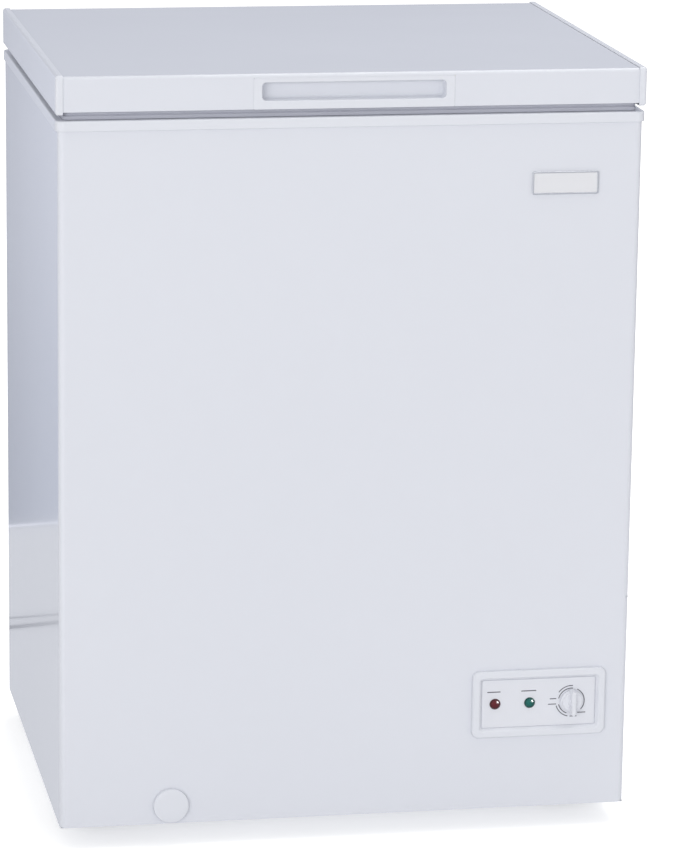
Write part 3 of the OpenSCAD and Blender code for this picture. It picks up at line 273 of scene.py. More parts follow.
def finish(name, color, rough, metal=0.0, vary=0.03, tone=6, grain=None, coat=0.0,
           stretch=(1, 1, 1)):
    """A surface with a soft change of colour and gloss over it, by the shares vary and 12 %.
    tone is the scale of that change, and grain the scale and height of a fine bump."""
    material, n = new_material(name)
    place = n.add("Mapping", {"Vector": n.place(), "Scale": stretch}).outputs[0]
    cloud = n.add("TexNoise", {"Vector": place, "Scale": tone, "Detail": 3.0}).outputs["Fac"]
    dark = [c * (1 - vary) for c in color]
    light = [min(1, c * (1 + vary)) for c in color]
    inputs = {"Base Color": n.blend(cloud, (*dark, 1), (*light, 1)),
              "Roughness": n.spread(cloud, rough * 0.88, rough * 1.12), "Metallic": metal,
              "Coat Weight": coat, "Coat Roughness": 0.08}
    if grain:
        fine = n.add("TexNoise", {"Vector": place, "Scale": grain[0], "Detail": 2.0})
        inputs["Normal"] = n.add("Bump", {"Height": fine.outputs["Fac"], "Distance": grain[1],
                                          "Strength": 1.0}).outputs[0]
    n.end(n.add("BsdfPrincipled", inputs).outputs[0])
    return material


def stucco(name, color, rough):
    """Embossed aluminium sheet: a field of small flat-topped pebbles."""
    material, n = new_material(name)
    place = n.place()
    cells = n.add("TexVoronoi", {"Vector": place, "Scale": 260.0, "Randomness": 0.8},
                  feature="SMOOTH_F1")
    cloud = n.add("TexNoise", {"Vector": place, "Scale": 9.0, "Detail": 4.0}).outputs["Fac"]
    bump = n.add("Bump", {"Height": cells.outputs["Distance"], "Distance": 0.4 * MM,
                          "Strength": 0.6})
    n.end(n.add("BsdfPrincipled", {
        "Base Color": n.blend(cloud, (*[c * 0.94 for c in color], 1), (*color, 1)),
        "Metallic": 0.75, "Roughness": n.spread(cloud, rough * 0.85, rough * 1.2),
        "Normal": bump.outputs[0]}).outputs[0])
    return material


def spangle(name, color, rough):
    """Galvanised sheet: crystals that differ a little in tone and gloss."""
    material, n = new_material(name)
    place = n.place()
    warp = n.add("TexNoise", {"Vector": place, "Scale": 60.0, "Detail": 2.0})
    bent = n.add("VectorMath", {0: warp.outputs["Color"], "Scale": 0.012}, operation="SCALE")
    moved = n.add("VectorMath", {0: place, 1: bent.outputs[0]}, operation="ADD")
    cells = n.add("TexVoronoi", {"Vector": moved.outputs[0], "Scale": 70.0})
    shade = n.add("SeparateColor", {"Color": cells.outputs["Color"]})
    n.end(n.add("BsdfPrincipled", {
        "Base Color": n.blend(shade.outputs[0], (*[c * 0.9 for c in color], 1), (*color, 1)),
        "Metallic": 0.85,
        "Roughness": n.spread(shade.outputs[1], rough * 0.88, rough * 1.12)}).outputs[0])
    return material


def lens_finish(name, color, deep):
    """Clear coloured moulding: facets in the middle and painted shade at the rim, which darkens the dome
    towards the deep colour where it turns away from the view.
    """
    material, n = new_material(name)
    # painted shade: the rim darkens as the surface turns away from the view
    edge = n.add("LayerWeight", {"Blend": 0.68})
    facets = n.add("TexVoronoi", {"Vector": n.place(), "Scale": 900.0, "Randomness": 0.0})
    glow = n.blend(facets.outputs["Distance"], (*color, 1), (*[0.7 * c for c in color], 1))
    n.end(n.add("BsdfPrincipled", {
        "Base Color": n.blend(edge.outputs["Facing"], glow, (*deep, 1)), "Roughness": 0.2,
        "Specular IOR Level": 0.5, "IOR": 1.45}).outputs[0])
    return material


ENAMEL = (0.735, 0.752, 0.812)
TRIM = (0.745, 0.762, 0.818)

MATERIALS = {
    "white_enamel": finish("white_enamel", ENAMEL, 0.2, vary=0.008, tone=3, grain=(420, 0.000012),
                           coat=0.5),
    "white_trim": finish("white_trim", TRIM, 0.26, vary=0.01, tone=8, grain=(900, 0.000008),
                         coat=0.35),
    "white_panel": finish("white_panel", (0.755, 0.768, 0.822), 0.38, vary=0.012, tone=10,
                          grain=(1100, 0.000012)),
    "zinc_steel": spangle("zinc_steel", (0.66, 0.67, 0.69), 0.42),
    "bright_steel": finish("bright_steel", (0.68, 0.69, 0.71), 0.24, metal=1.0, vary=0.06, tone=90,
                           grain=(1500, 0.00001)),
    "liner_aluminium": stucco("liner_aluminium", (0.86, 0.87, 0.88), 0.36),
    "foam": finish("foam", (0.83, 0.74, 0.42), 0.9, vary=0.1, tone=60, grain=(500, 0.0004)),
    "black_enamel": finish("black_enamel", (0.018, 0.018, 0.02), 0.28, vary=0.2, tone=25,
                           grain=(260, 0.00004), coat=0.4),
    "copper": finish("copper", (0.72, 0.34, 0.2), 0.34, metal=1.0, vary=0.16, tone=50),
    "black_rubber": finish("black_rubber", (0.028, 0.028, 0.03), 0.7, vary=0.2, tone=40,
                           grain=(700, 0.00006)),
    "dark_plastic": finish("dark_plastic", (0.055, 0.058, 0.064), 0.48, vary=0.12, tone=30,
                           grain=(1200, 0.00003)),
    "gasket_vinyl": finish("gasket_vinyl", (0.47, 0.48, 0.545), 0.5, vary=0.05, tone=20,
                           grain=(800, 0.00003)),
    # the last colour of each lens is the painted shade at its rim
    "red_lens": lens_finish("red_lens", (0.135, 0.006, 0.012), (0.01, 0.001, 0.002)),
    "green_lens": lens_finish("green_lens", (0.004, 0.15, 0.125), (0.001, 0.011, 0.012)),
    "satin_plate": finish("satin_plate", (0.8, 0.803, 0.83), 0.36, metal=0.15, vary=0.03, tone=40,
                          grain=(300, 0.00001), stretch=(0.06, 1, 6)),
    "coated_wire": finish("coated_wire", (0.78, 0.79, 0.81), 0.32, vary=0.03, tone=30,
                          grain=(600, 0.00003), coat=0.2),
    "spring_steel": finish("spring_steel", (0.26, 0.26, 0.28), 0.35, metal=1.0, vary=0.15, tone=120),
    "print_ink": finish("print_ink", (0.11, 0.11, 0.13), 0.6, vary=0.08, tone=200),
}


def light_lenses(*names):
    """A lamp that only the signal lenses catch, for the spot of light on each dome."""
    lamp = add_lamp("glint_lamp", (2.13, -1.73, 1.2), (0.27, -0.28, 0.13), (1.5, 1.5), 330)
    lamp.visible_diffuse = False
    lit = bpy.data.collections.new("lit_by_glint")
    for name in names:
        lit.objects.link(bpy.data.objects[name])
    lamp.light_linking.receiver_collection = lit


def dress_cad_nodes():
    """Gives the CAD nodes that stay in sight the same surfaces as the pieces."""
    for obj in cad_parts.values():
        slots = obj.data.materials
        for i, old in enumerate(slots):
            name = old.name.split(".")[0] if old else ""
            slots[i] = MATERIALS.get(name) or old


# ---------- Mesh helpers ----------

def flat(u, v, w):
    """Places an outline in a level plane at height w."""
    return Vector((u, v, w))


def upright(u, v, w):
    """Places an outline in a plane that faces the front, at depth w."""
    return Vector((u, w, v))


def sideways(u, v, w):
    """Places an outline in a plane that faces the side, at w along X."""
    return Vector((w, u, v))


def rounded_rect(x0, y0, x1, y1, r, steps=CORNER_STEPS, rear_r=None):
    """A rectangle with rounded corners. rear_r is the radius of the two corners at y1."""
    q = r if rear_r is None else rear_r
    corners = ((x1 - r, y0 + r, -90, r), (x1 - q, y1 - q, 0, q), (x0 + q, y1 - q, 90, q),
               (x0 + r, y0 + r, 180, r))
    return [(cx + radius * math.cos(math.radians(a + 90 * k / steps)),
             cy + radius * math.sin(math.radians(a + 90 * k / steps)))
            for cx, cy, a, radius in corners for k in range(steps + 1)]


def fillet(points, radius, steps=3, closed=False):
    """Rounds the corners of a 2D outline. A point's own third value takes the place of radius."""
    out = []
    count = len(points)
    for i, p in enumerate(points):
        here = Vector(p[:2])
        r = p[2] if len(p) > 2 else radius
        if r <= 0 or (not closed and i in (0, count - 1)):
            out.append(tuple(here))
            continue
        a, b = Vector(points[i - 1][:2]) - here, Vector(points[(i + 1) % count][:2]) - here
        half = a.angle(b) / 2
        if half > math.radians(89):
            out.append(tuple(here))
            continue
        reach = min(r / math.tan(half), 0.49 * min(a.length, b.length))
        r = reach * math.tan(half)
        a.normalize()
        b.normalize()
        centre = here + (a + b).normalized() * (r / math.sin(half))
        start, end = here + a * reach - centre, here + b * reach - centre
        for k in range(steps + 1):
            way = start * (1 - k / steps) + end * (k / steps)
            out.append(tuple(centre + way.normalized() * r))
    return out


def join_loops(bm, loops, ring=False):
    """Skins a row of closed loops that have the same number of points, and caps its ends.
    With ring, the last loop joins the first instead."""
    made = [[bm.verts.new(p) for p in loop] for loop in loops]
    pairs = list(zip(made, made[1:])) + ([(made[-1], made[0])] if ring else [])
    for low, high in pairs:
        for i, v in enumerate(low):
            j = (i + 1) % len(low)
            bm.faces.new((v, low[j], high[j], high[i]))
    if not ring:
        bm.faces.new(made[0])
        bm.faces.new(made[-1])


def lathe(bm, profile, at, axis="z", steps=40):
    """Turns a profile of (radius, height) points round an axis through a point."""
    turn = {"z": lambda r, a, h: (r * math.cos(a), r * math.sin(a), h),
            "y": lambda r, a, h: (r * math.cos(a), h, r * math.sin(a)),
            "x": lambda r, a, h: (h, r * math.cos(a), r * math.sin(a))}[axis]
    loops = []
    for r, h in profile:
        ring = [turn(max(r, 0.01 * MM), 2 * math.pi * k / steps, h) for k in range(steps)]
        loops.append([Vector(at) + Vector(p) for p in ring])
    join_loops(bm, loops)


def extrude(bm, outline, w0, w1, to=flat):
    join_loops(bm, [[to(u, v, w) for u, v in outline] for w in (w0, w1)])


def block(bm, lo, hi):
    extrude(bm, [(lo[0], lo[1]), (hi[0], lo[1]), (hi[0], hi[1]), (lo[0], hi[1])], lo[2], hi[2])


def bend_path(points, radius):
    """Rounds the corners of a 3D path."""
    steps = 5
    points = [Vector(p) for p in points]
    out = [points[0]]
    for before, here, after in zip(points, points[1:], points[2:]):
        a, b = before - here, after - here
        half = a.angle(b) / 2
        reach = min(radius / math.tan(half), 0.49 * min(a.length, b.length))
        r = reach * math.tan(half)
        a.normalize()
        b.normalize()
        centre = here + (a + b).normalized() * (r / math.sin(half))
        start, end = here + a * reach - centre, here + b * reach - centre
        out += [centre + (start * (1 - k / steps) + end * (k / steps)).normalized() * r
                for k in range(steps + 1)]
    return out + [points[-1]]


def wire(bm, path, radius, sides=10):
    """A round wire along a path, with domed ends."""
    path = [Vector(p) for p in path]
    headings = [(path[min(i + 1, len(path) - 1)] - path[max(i - 1, 0)]).normalized()
                for i in range(len(path))]
    normal = headings[0].orthogonal().normalized()
    loops = []
    dome = [(0.35, 0.94), (0.75, 0.66), (1.0, 0.0)]
    stations = [(path[0] - headings[0] * radius * f, 0, s) for s, f in dome[:2]]
    stations += [(p, i, 1.0) for i, p in enumerate(path)]
    last = len(path) - 1
    stations += [(path[-1] + headings[-1] * radius * f, last, s) for s, f in reversed(dome[:2])]
    for place, i, scale in stations:
        normal = (normal - headings[i] * normal.dot(headings[i])).normalized()
        across = headings[i].cross(normal)
        ring = [2 * math.pi * k / sides for k in range(sides)]
        loops.append([place + (normal * math.cos(a) + across * math.sin(a)) * radius * scale
                      for a in ring])
    join_loops(bm, loops)


def to_object(bm, name):
    bmesh.ops.recalc_face_normals(bm, faces=bm.faces)
    mesh = bpy.data.meshes.new(name)
    bm.to_mesh(mesh)
    bm.free()
    return add_object(name, mesh)


def bake_modifiers(obj):
    """Keeps the mesh that the modifiers make, and drops the modifiers."""
    bpy.context.view_layer.update()
    made = bpy.data.meshes.new_from_object(obj.evaluated_get(bpy.context.evaluated_depsgraph_get()))
    made.name = obj.data.name
    obj.modifiers.clear()
    obj.data = made


def carve(obj, bm):
    """Cuts a shape out of a piece."""
    tool = to_object(bm, "tool")
    cut = obj.modifiers.new("cut", "BOOLEAN")
    cut.operation = "DIFFERENCE"
    cut.solver = "EXACT"
    cut.object = tool
    bake_modifiers(obj)
    bpy.data.objects.remove(tool)


def round_edges(obj, width, segments):
    """Rounds the edges that turn by more than 40 degrees."""
    bevel = obj.modifiers.new("edges", "BEVEL")
    bevel.width = width
    bevel.segments = segments
    bevel.limit_method = "ANGLE"
    bevel.angle_limit = math.radians(40)
    bevel.miter_outer = "MITER_ARC"
    bake_modifiers(obj)


def place(obj, body, material, *nodes, smooth=34, slot=None):
    """Gives a finished piece its surface and its body, and hides the CAD nodes that it stands for."""
    mesh = obj.data
    mesh.materials.clear()
    mesh.materials.append(MATERIALS[material])
    mesh.shade_smooth()
    mesh.set_sharp_from_angle(angle=math.radians(smooth))
    weighted = obj.modifiers.new("normals", "WEIGHTED_NORMAL")
    weighted.keep_sharp = True
    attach(obj, body)
    if nodes:
        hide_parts(*nodes)


def span(node):
    """A node's box as x0, y0, z0, x1, y1, z1."""
    lo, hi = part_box(node)
    return (*lo, *hi)


def rows(rect, corner, profile, to=flat, steps=CORNER_STEPS):
    """Loops that carry a profile of (inset, level) points round a rounded rectangle.
    corner is the radius at no inset, or a function that gives the radius at an inset."""
    x0, y0, x1, y1 = rect
    radius = corner if callable(corner) else (lambda inset: corner - inset)
    loops = []
    for inset, level in profile:
        outline = rounded_rect(x0 + inset, y0 + inset, x1 - inset, y1 - inset,
                               max(radius(inset), 0.3 * MM), steps)
        loops.append([to(u, v, level) for u, v in outline])
    return loops


# ---------- Cabinet ----------

def cabinet_skin():
    """Painted sheet round three sides, with holes for the panel, the grille and the drain."""
    x0, y0, z0, x1, y1, z1 = span("cabinet_shell")
    lip, front_r, rear_r, hole_r = 14 * MM, 7 * MM, 1.4 * MM, 10.1 * MM
    bm = bmesh.new()
    profile = fillet([(0, z1), (0, z0, 0.35 * MM), (SHEET, z0, 0.35 * MM), (SHEET, z1)], 0)
    join_loops(bm, [[flat(u, v, level) for u, v in rounded_rect(
        x0 + inset, y0 + inset, x1 - inset, y1 - inset, front_r - inset, rear_r=rear_r - inset)]
        for inset, level in profile], ring=True)
    skin = to_object(bm, "cabinet_skin")
    bm = bmesh.new()
    block(bm, (x0 + lip, y1 - 8 * MM, z0 - CUT), (x1 - lip, y1 + CUT, z1 + CUT))
    bx0, _, bz0, bx1, _, bz1 = span("control_housing")
    block(bm, (bx0, y0 - CUT, bz0), (bx1, y0 + CUT, bz1))
    _, gy0, gz0, gx1, gy1, gz1 = span("side_grille")
    rim = 6 * MM
    block(bm, (x1 - CUT, gy0 + rim, gz0 + rim), (gx1 + CUT, gy1 - rim, gz1 - rim))
    carve(skin, bm)
    bm = bmesh.new()
    dx0, _, dz0, dx1, _, dz1 = span("drain_cap")
    lathe(bm, [(hole_r, -CUT), (hole_r, CUT)], ((dx0 + dx1) / 2, y0, (dz0 + dz1) / 2), axis="y")
    carve(skin, bm)
    place(skin, "cabinet", "white_enamel", "cabinet_shell")


def frame_moulding():
    """The moulded frame between cabinet and liner: an outer band, a flat top, a ledge and a skirt."""
    x0, y0, z0, x1, y1, z1 = span("top_frame")
    cx0, _, _, _, _, cz1 = span("cabinet_shell")
    lx0, *_ = span("inner_liner")
    wall, over = 2 * MM, cx0 - x0
    band_z = z1 - 11 * MM
    ledge_z = z1 - 22 * MM
    step_in = (lx0 + MM) - 14 * MM - x0
    skirt_in = (lx0 + MM) + 1.5 * MM - x0
    bm = bmesh.new()
    profile = fillet([
        (0, band_z, 0.5 * MM), (0, z1, 1.6 * MM), (step_in, z1, 1.4 * MM),
        (step_in, ledge_z, 1.2 * MM), (skirt_in, ledge_z, 1.6 * MM), (skirt_in, z0, 0.4 * MM),
        (skirt_in - 1.4 * MM, z0, 0.4 * MM), (skirt_in - 1.4 * MM, ledge_z - wall, 0),
        (step_in - wall, ledge_z - wall, 0), (step_in - wall, cz1, 0), (over - 0.1 * MM, cz1, 0),
        (over - 0.1 * MM, band_z, 0.3 * MM)], 0, closed=True)
    inner_r = 32 * MM
    join_loops(bm, rows((x0, y0, x1, y1),
                        lambda d: 9.5 * MM - d if d < 6 * MM else inner_r - (d - step_in), profile),
               ring=True)
    body = to_object(bm, "frame_moulding")
    bm = bmesh.new()
    notch = 26 * MM
    _, hy0, _, _, hy1, _ = span("hinge_bases")
    for hinge in hinge_centres():
        block(bm, (hinge - notch, hy0 + 0.1 * MM, band_z - CUT), (hinge + notch, hy1, z1 + CUT))
    carve(body, bm)
    place(body, "cabinet", "white_trim", "top_frame")


def hinge_centres():
    x0, _, _, x1, _, _ = span("hinge_bases")
    half = 20 * MM
    return (x0 + half, x1 - half)


def rear_panel():
    """Flat steel back with shallow pressed beads that stiffen it."""
    x0, y0, z0, x1, y1, z1 = span("back_panel")
    top_of_bay = span("rear_cover")[5] + 0.1 * MM
    bay_x = span("rear_cover")[0] - 0.1 * MM
    bm = bmesh.new()
    outline = fillet([(x0, z0), (bay_x, z0), (bay_x, top_of_bay), (x1, top_of_bay), (x1, z1),
                      (x0, z1)], 0.4 * MM, closed=True)
    extrude(bm, outline, y0, y1, upright)
    panel = to_object(bm, "rear_panel")
    place(panel, "cabinet", "zinc_steel", "back_panel")
    bm = bmesh.new()
    bead, rise, margin = 9 * MM, 0.7 * MM, 70 * MM
    top, low = z1 - 150 * MM, top_of_bay + 55 * MM
    for i in range(4):
        z = low + (top - low) * i / 3
        profile = [(0, y1 - 0.3 * MM), (0, y1 + 0.05 * MM), (bead * 0.25, y1 + rise * 0.8),
                   (bead * 0.42, y1 + rise)]
        join_loops(bm, rows((x0 + margin, z, x1 - margin, z + bead), bead * 0.499, profile,
                            upright, 6))
    place(to_object(bm, "rear_beads"), "cabinet", "zinc_steel")


SLOTS = 8


def bay_cover():
    """Sheet cover of the compressor bay with rounded ventilation slots."""
    x0, y0, z0, x1, y1, z1 = span("rear_cover")
    bm = bmesh.new()
    extrude(bm, fillet([(x0, z0), (x1, z0), (x1, z1), (x0, z1)], 1.5 * MM, closed=True), y0, y1,
            upright)
    cover = to_object(bm, "bay_cover")
    gx0, _, gz0, gx1, _, gz1 = span("cord_gland")
    slot_x0, slot_x1 = x0 + 22 * MM, x1 - 23 * MM
    low = (gz0 + gz1) / 2 + 28 * MM
    pitch = (z1 - 18 * MM - low) / SLOTS
    slot_h = 0.4 * pitch
    bm = bmesh.new()
    for i in range(SLOTS):
        z = low + (i + 0.25) * pitch
        join_loops(bm, rows((slot_x0, z, slot_x1, z + slot_h), slot_h * 0.49,
                            [(0, y0 - CUT), (0, y1 + CUT)], upright, 6))
    gland_r = 8.1 * MM
    lathe(bm, [(gland_r, -CUT), (gland_r, CUT)], ((gx0 + gx1) / 2, y1, (gz0 + gz1) / 2), axis="y")
    carve(cover, bm)
    place(cover, "cabinet", "zinc_steel", "rear_cover")
    bm = bmesh.new()
    for i in range(SLOTS):
        z = low + (i + 0.25) * pitch + slot_h
        half = [(y1 - 0.2 * MM, z - 0.2 * MM), (y1 + 2.6 * MM, z - slot_h * 0.75),
                (y1 + 3.0 * MM, z - slot_h * 0.7), (y1 + 2.2 * MM, z + 0.4 * MM),
                (y1 - 0.2 * MM, z + 2.2 * MM)]
        extrude(bm, half, slot_x0 + MM, slot_x1 - MM, sideways)
    hoods = to_object(bm, "bay_louvres")
    round_edges(hoods, 0.5 * MM, 2)
    place(hoods, "cabinet", "zinc_steel")


def vent_grille():
    """Moulded grille in the right side: a rounded frame and sloping bars."""
    x0, y0, z0, x1, y1, z1 = span("side_grille")
    lip = 6 * MM
    wall_x = span("cabinet_shell")[3]
    bm = bmesh.new()
    profile = fillet([(0, wall_x + 0.1 * MM, 0.2 * MM), (0, x1, 0.9 * MM), (lip + 5 * MM, x1, 0.6 * MM),
                      (lip + 5 * MM, x0, 0), (lip, x0, 0), (lip, wall_x + 0.1 * MM, 0)], 0, closed=True)
    join_loops(bm, rows((y0, z0, y1, z1), lambda d: max(4 * MM - d, 1.2 * MM), profile, sideways),
               ring=True)
    count = 9
    pitch = (z1 - z0 - 2 * lip) / count
    for i in range(count + 1):
        z = z0 + lip + i * pitch
        bar = [(x0 + 0.2 * MM, z - 0.28 * pitch), (x0 + 1.6 * MM, z - 0.3 * pitch),
               (x1 - 0.3 * MM, z - 0.05 * pitch), (x1 - 0.2 * MM, z + 0.22 * pitch),
               (x0 + 0.2 * MM, z + 0.05 * pitch)]
        low, high = z0 + lip, z1 - lip
        bar = [(x, min(max(w, low), high)) for x, w in bar]
        extrude(bm, fillet(bar, 0.5 * MM, closed=True), y0 + lip, y1 - lip,
                lambda u, v, w: Vector((u, w, v)))
    place(to_object(bm, "vent_grille"), "cabinet", "white_trim", "side_grille")


def adjustable_feet():
    """Round ribbed feet with a neck that screws into the tray."""
    x0, y0, _, x1, y1, z1 = span("feet")
    pad, ribs = 20 * MM, 24
    bm = bmesh.new()
    profile = fillet([(6 * MM, 8 * MM), (6 * MM, 0, 0.3 * MM), (pad - MM, 0, 0.5 * MM),
                      (pad, 1.5 * MM, 0.8 * MM), (pad, 6 * MM, 1.2 * MM), (15 * MM, 9 * MM, 2 * MM),
                      (14 * MM, z1), (2.6 * MM, z1)], 0)
    for x in (x0 + pad, x1 - pad):
        for y in (y0 + pad, y1 - pad):
            lathe(bm, profile, (x, y, 0))
            for k in range(ribs):
                a = math.radians(360 / ribs * k)
                rib = [(x + (pad - 0.2 * MM) * math.cos(a), y + (pad - 0.2 * MM) * math.sin(a), z)
                       for z in (2.2 * MM, 5.4 * MM)]
                wire(bm, rib, 0.9 * MM, 6)
    place(to_object(bm, "adjustable_feet"), "cabinet", "dark_plastic", "feet")


# ---------- Control panel ----------

BEZEL_BORDER = 9.5 * MM


def panel_bezel():
    """Frame round the control panel. Its window slopes in to the fascia."""
    x0, y0, z0, x1, y1, z1 = span("control_bezel")
    cabinet_y = span("cabinet_shell")[1]
    fascia_y = span("control_fascia")[1]
    border, flange = BEZEL_BORDER, BEZEL_BORDER - 2 * MM
    bm = bmesh.new()
    profile = fillet([(0, cabinet_y, 0.3 * MM), (0.5 * MM, y0, 2.4 * MM),
                      (border - 1.6 * MM, y0, 1.4 * MM), (border + 1.3 * MM, fascia_y, 0.05 * MM),
                      (border + 1.1 * MM, fascia_y + 0.9 * MM, 0), (border, fascia_y + MM, 0),
                      (border, y1, 0), (flange, y1, 0), (flange, cabinet_y, 0)], 0, 4, closed=True)
    join_loops(bm, rows((x0, z0, x1, z1), lambda d: 8 * MM - 5 * MM * d / border, profile, upright),
               ring=True)
    place(to_object(bm, "panel_bezel"), "cabinet", "white_trim", "control_bezel")


def panel_fascia():
    """The printed plate. A fine groove parts it from the bezel."""
    x0, y0, z0, x1, y1, z1 = span("control_fascia")
    edge = span("control_bezel")[0] + BEZEL_BORDER + 2.0 * MM - x0
    groove_y = y0 + 0.9 * MM
    bm = bmesh.new()
    profile = fillet([(2 * MM, y1), (0, y1, 0.1 * MM), (0, groove_y, 0), (edge, groove_y, 0),
                      (edge, y0, 0.25 * MM), (edge + 2 * MM, y0)], 0)
    join_loops(bm, rows((x0, z0, x1, z1), lambda d: max(3 * MM - d, 0.8 * MM), profile, upright))
    place(to_object(bm, "panel_fascia"), "cabinet", "white_panel", "control_fascia")


def print_dash(bm, x, z, length, height, y0, y1):
    """A short printed line with rounded ends."""
    outline = rounded_rect(x, z - height / 2, x + length, z + height / 2, height * 0.45, 4)
    extrude(bm, outline, y0, y1, upright)


def print_arc(bm, cx, cz, r, start, end, width, y0, y1):
    """A printed arc from one angle to another, in degrees."""
    steps = max(6, round(abs(end - start) / 5))
    angles = [math.radians(start + (end - start) * k / steps) for k in range(steps + 1)]
    wide, narrow = r + width / 2, r - width / 2
    outline = [(cx + wide * math.cos(a), cz + wide * math.sin(a)) for a in angles]
    outline += [(cx + narrow * math.cos(a), cz + narrow * math.sin(a)) for a in reversed(angles)]
    low = [bm.verts.new(upright(u, v, y0)) for u, v in outline]
    high = [bm.verts.new(upright(u, v, y1)) for u, v in outline]
    last = len(outline) - 1
    for i in range(steps):
        bm.faces.new((low[i], low[i + 1], low[last - i - 1], low[last - i]))
        bm.faces.new((high[i], high[i + 1], high[last - i - 1], high[last - i]))
    for i in range(len(outline)):
        j = (i + 1) % len(outline)
        bm.faces.new((low[i], low[j], high[j], high[i]))


def dial_centre():
    x0, _, z0, x1, _, z1 = span("dial")
    return (x0 + x1) / 2, (z0 + z1) / 2


def panel_print():
    """Thin printed marks: temperature arcs round the dial and a dash over each lamp."""
    y1 = span("control_fascia")[1]
    y0 = y1 - 0.06 * MM
    cx, cz = dial_centre()
    inner, outer, width = 14.7 * MM, 17.7 * MM, 1.0 * MM
    bm = bmesh.new()
    for r, start, end in ((inner, 84, 167), (outer, 85, 144), (inner, 194, 249), (outer, 196, 257),
                          (inner, -43, 64)):
        print_arc(bm, cx, cz, r, start, end, width, y0, y1)
    for dx, dz, length in ((-24.5, 3.3, 7.5), (-26.4, -2.9, 9.4), (7, -13.6, 9.4), (-1.6, -17.6, 8)):
        print_dash(bm, cx + dx * MM, cz + dz * MM, length * MM, 1.05 * MM, y0, y1)
    for lamp, dx, length in (("lamp_lens_red", -1.5, 15), ("lamp_lens_green", -1.2, 17)):
        lx0, _, _, lx1, _, _ = span(lamp)
        print_dash(bm, (lx0 + lx1) / 2 + (dx - length / 2) * MM, cz + 13.7 * MM, length * MM,
                   1.15 * MM, y0, y1)
    place(to_object(bm, "panel_print"), "cabinet", "print_ink", slot="dark_plastic")


def signal_lamp(name, node, material):
    """A domed lens with a thin rim."""
    x0, y0, z0, x1, y1, z1 = span(node)
    r = (x1 - x0) / 2
    face = span("control_fascia")[1]
    bm = bmesh.new()
    dome = [(r * 0.9 * math.cos(a), -0.8 * MM - (face - y0 - 0.9 * MM) * math.sin(a))
            for a in (math.radians(9 * k) for k in range(10))]
    profile = [(r * 0.75, y1 - face), (r * 0.75, -0.02 * MM), (r, -0.05 * MM), (r, -0.5 * MM),
               (r * 0.96, -0.8 * MM)] + dome
    lathe(bm, profile, ((x0 + x1) / 2, face, (z0 + z1) / 2), axis="y")
    place(to_object(bm, name), "cabinet", material, node, smooth=50)


def thermostat_dial():
    """Dial with a sloping skirt and a grip bar right across it."""
    _, y0, z0, _, y1, z1 = span("dial")
    cx, cz = dial_centre()
    half_l, half_w = (z1 - z0) / 2, 3.3 * MM
    r = half_l - 1.9 * MM
    bm = bmesh.new()
    profile = fillet([(r * 0.7, 0), (r - 0.6 * MM, 0, 0.2 * MM), (r, -0.8 * MM, 0.5 * MM),
                      (r - 0.1 * MM, -3.2 * MM, 0.9 * MM), (r - 1.4 * MM, -4.4 * MM, 1.0 * MM),
                      (r - 2.6 * MM, -7 * MM, 1.2 * MM), (5.2 * MM, -7.3 * MM, 0.8 * MM),
                      (4.2 * MM, -9.9 * MM, 0.8 * MM), (0.5 * MM, -10.1 * MM)], 0, 4)
    lathe(bm, profile, (cx, y1, cz), axis="y", steps=72)
    bar = fillet([(0.2 * MM, y1 - 1.5 * MM), (0, y1 - 2.2 * MM, 0.5 * MM), (0.9 * MM, y0, 1.8 * MM),
                  (2.9 * MM, y0)], 0, 5)
    join_loops(bm, rows((cx - half_w, cz - half_l, cx + half_w, cz + half_l),
                        lambda d: half_w * 0.95 - d, bar, upright))
    place(to_object(bm, "thermostat_dial"), "dial", "white_panel", "dial")


def bare_badge():
    """A plain metal plate in a raised frame. Nothing is printed on it."""
    x0, y0, z0, x1, y1, z1 = span("badge_plate")
    rim, recess = 1.7 * MM, 0.7 * MM
    bm = bmesh.new()
    profile = fillet([(0, y1), (0, y0, 0.7 * MM), (rim, y0, 0.35 * MM), (rim, y0 + recess, 0),
                      (3 * MM, y0 + recess)], 0)
    join_loops(bm, rows((x0, z0, x1, z1), lambda d: max(2 * MM - d, 0.8 * MM), profile, upright))
    place(to_object(bm, "badge_frame"), "cabinet", "bright_steel", "badge_plate")
    bm = bmesh.new()
    inset, front = rim + 0.15 * MM, y0 + recess - 0.25 * MM
    profile = fillet([(inset, y0 + recess + 0.1 * MM), (inset, front, 0.15 * MM), (4 * MM, front)], 0)
    join_loops(bm, rows((x0, z0, x1, z1), lambda d: max(2 * MM - d, 0.8 * MM), profile, upright))
    place(to_object(bm, "badge_face"), "cabinet", "satin_plate")


def outer_drain_cap():
    """Round cap with a soft rim and a short stem."""
    x0, y0, z0, x1, y1, z1 = span("drain_cap")
    r = (x1 - x0) / 2
    face = span("cabinet_shell")[1] - 0.3 * MM
    bm = bmesh.new()
    tall = face - y0
    profile = fillet([(r - 2 * MM, y1 - face), (r - 2 * MM, -0.3 * MM, 0), (r, 0, 0.3 * MM),
                      (r - 0.3 * MM, -tall + 0.5 * MM, 1.9 * MM), (r - 5 * MM, -tall + 0.1 * MM, 2 * MM),
                      (0.3 * MM, -tall)], 0, 5)
    stem_r = 7.9 * MM
    profile[:2] = [(stem_r, y1 - face), (stem_r, -0.1 * MM)]
    lathe(bm, profile, ((x0 + x1) / 2, face, (z0 + z1) / 2), axis="y", steps=64)
    place(to_object(bm, "outer_drain_cap"), "drain_cap", "white_trim", "drain_cap")


# ---------- Lid ----------

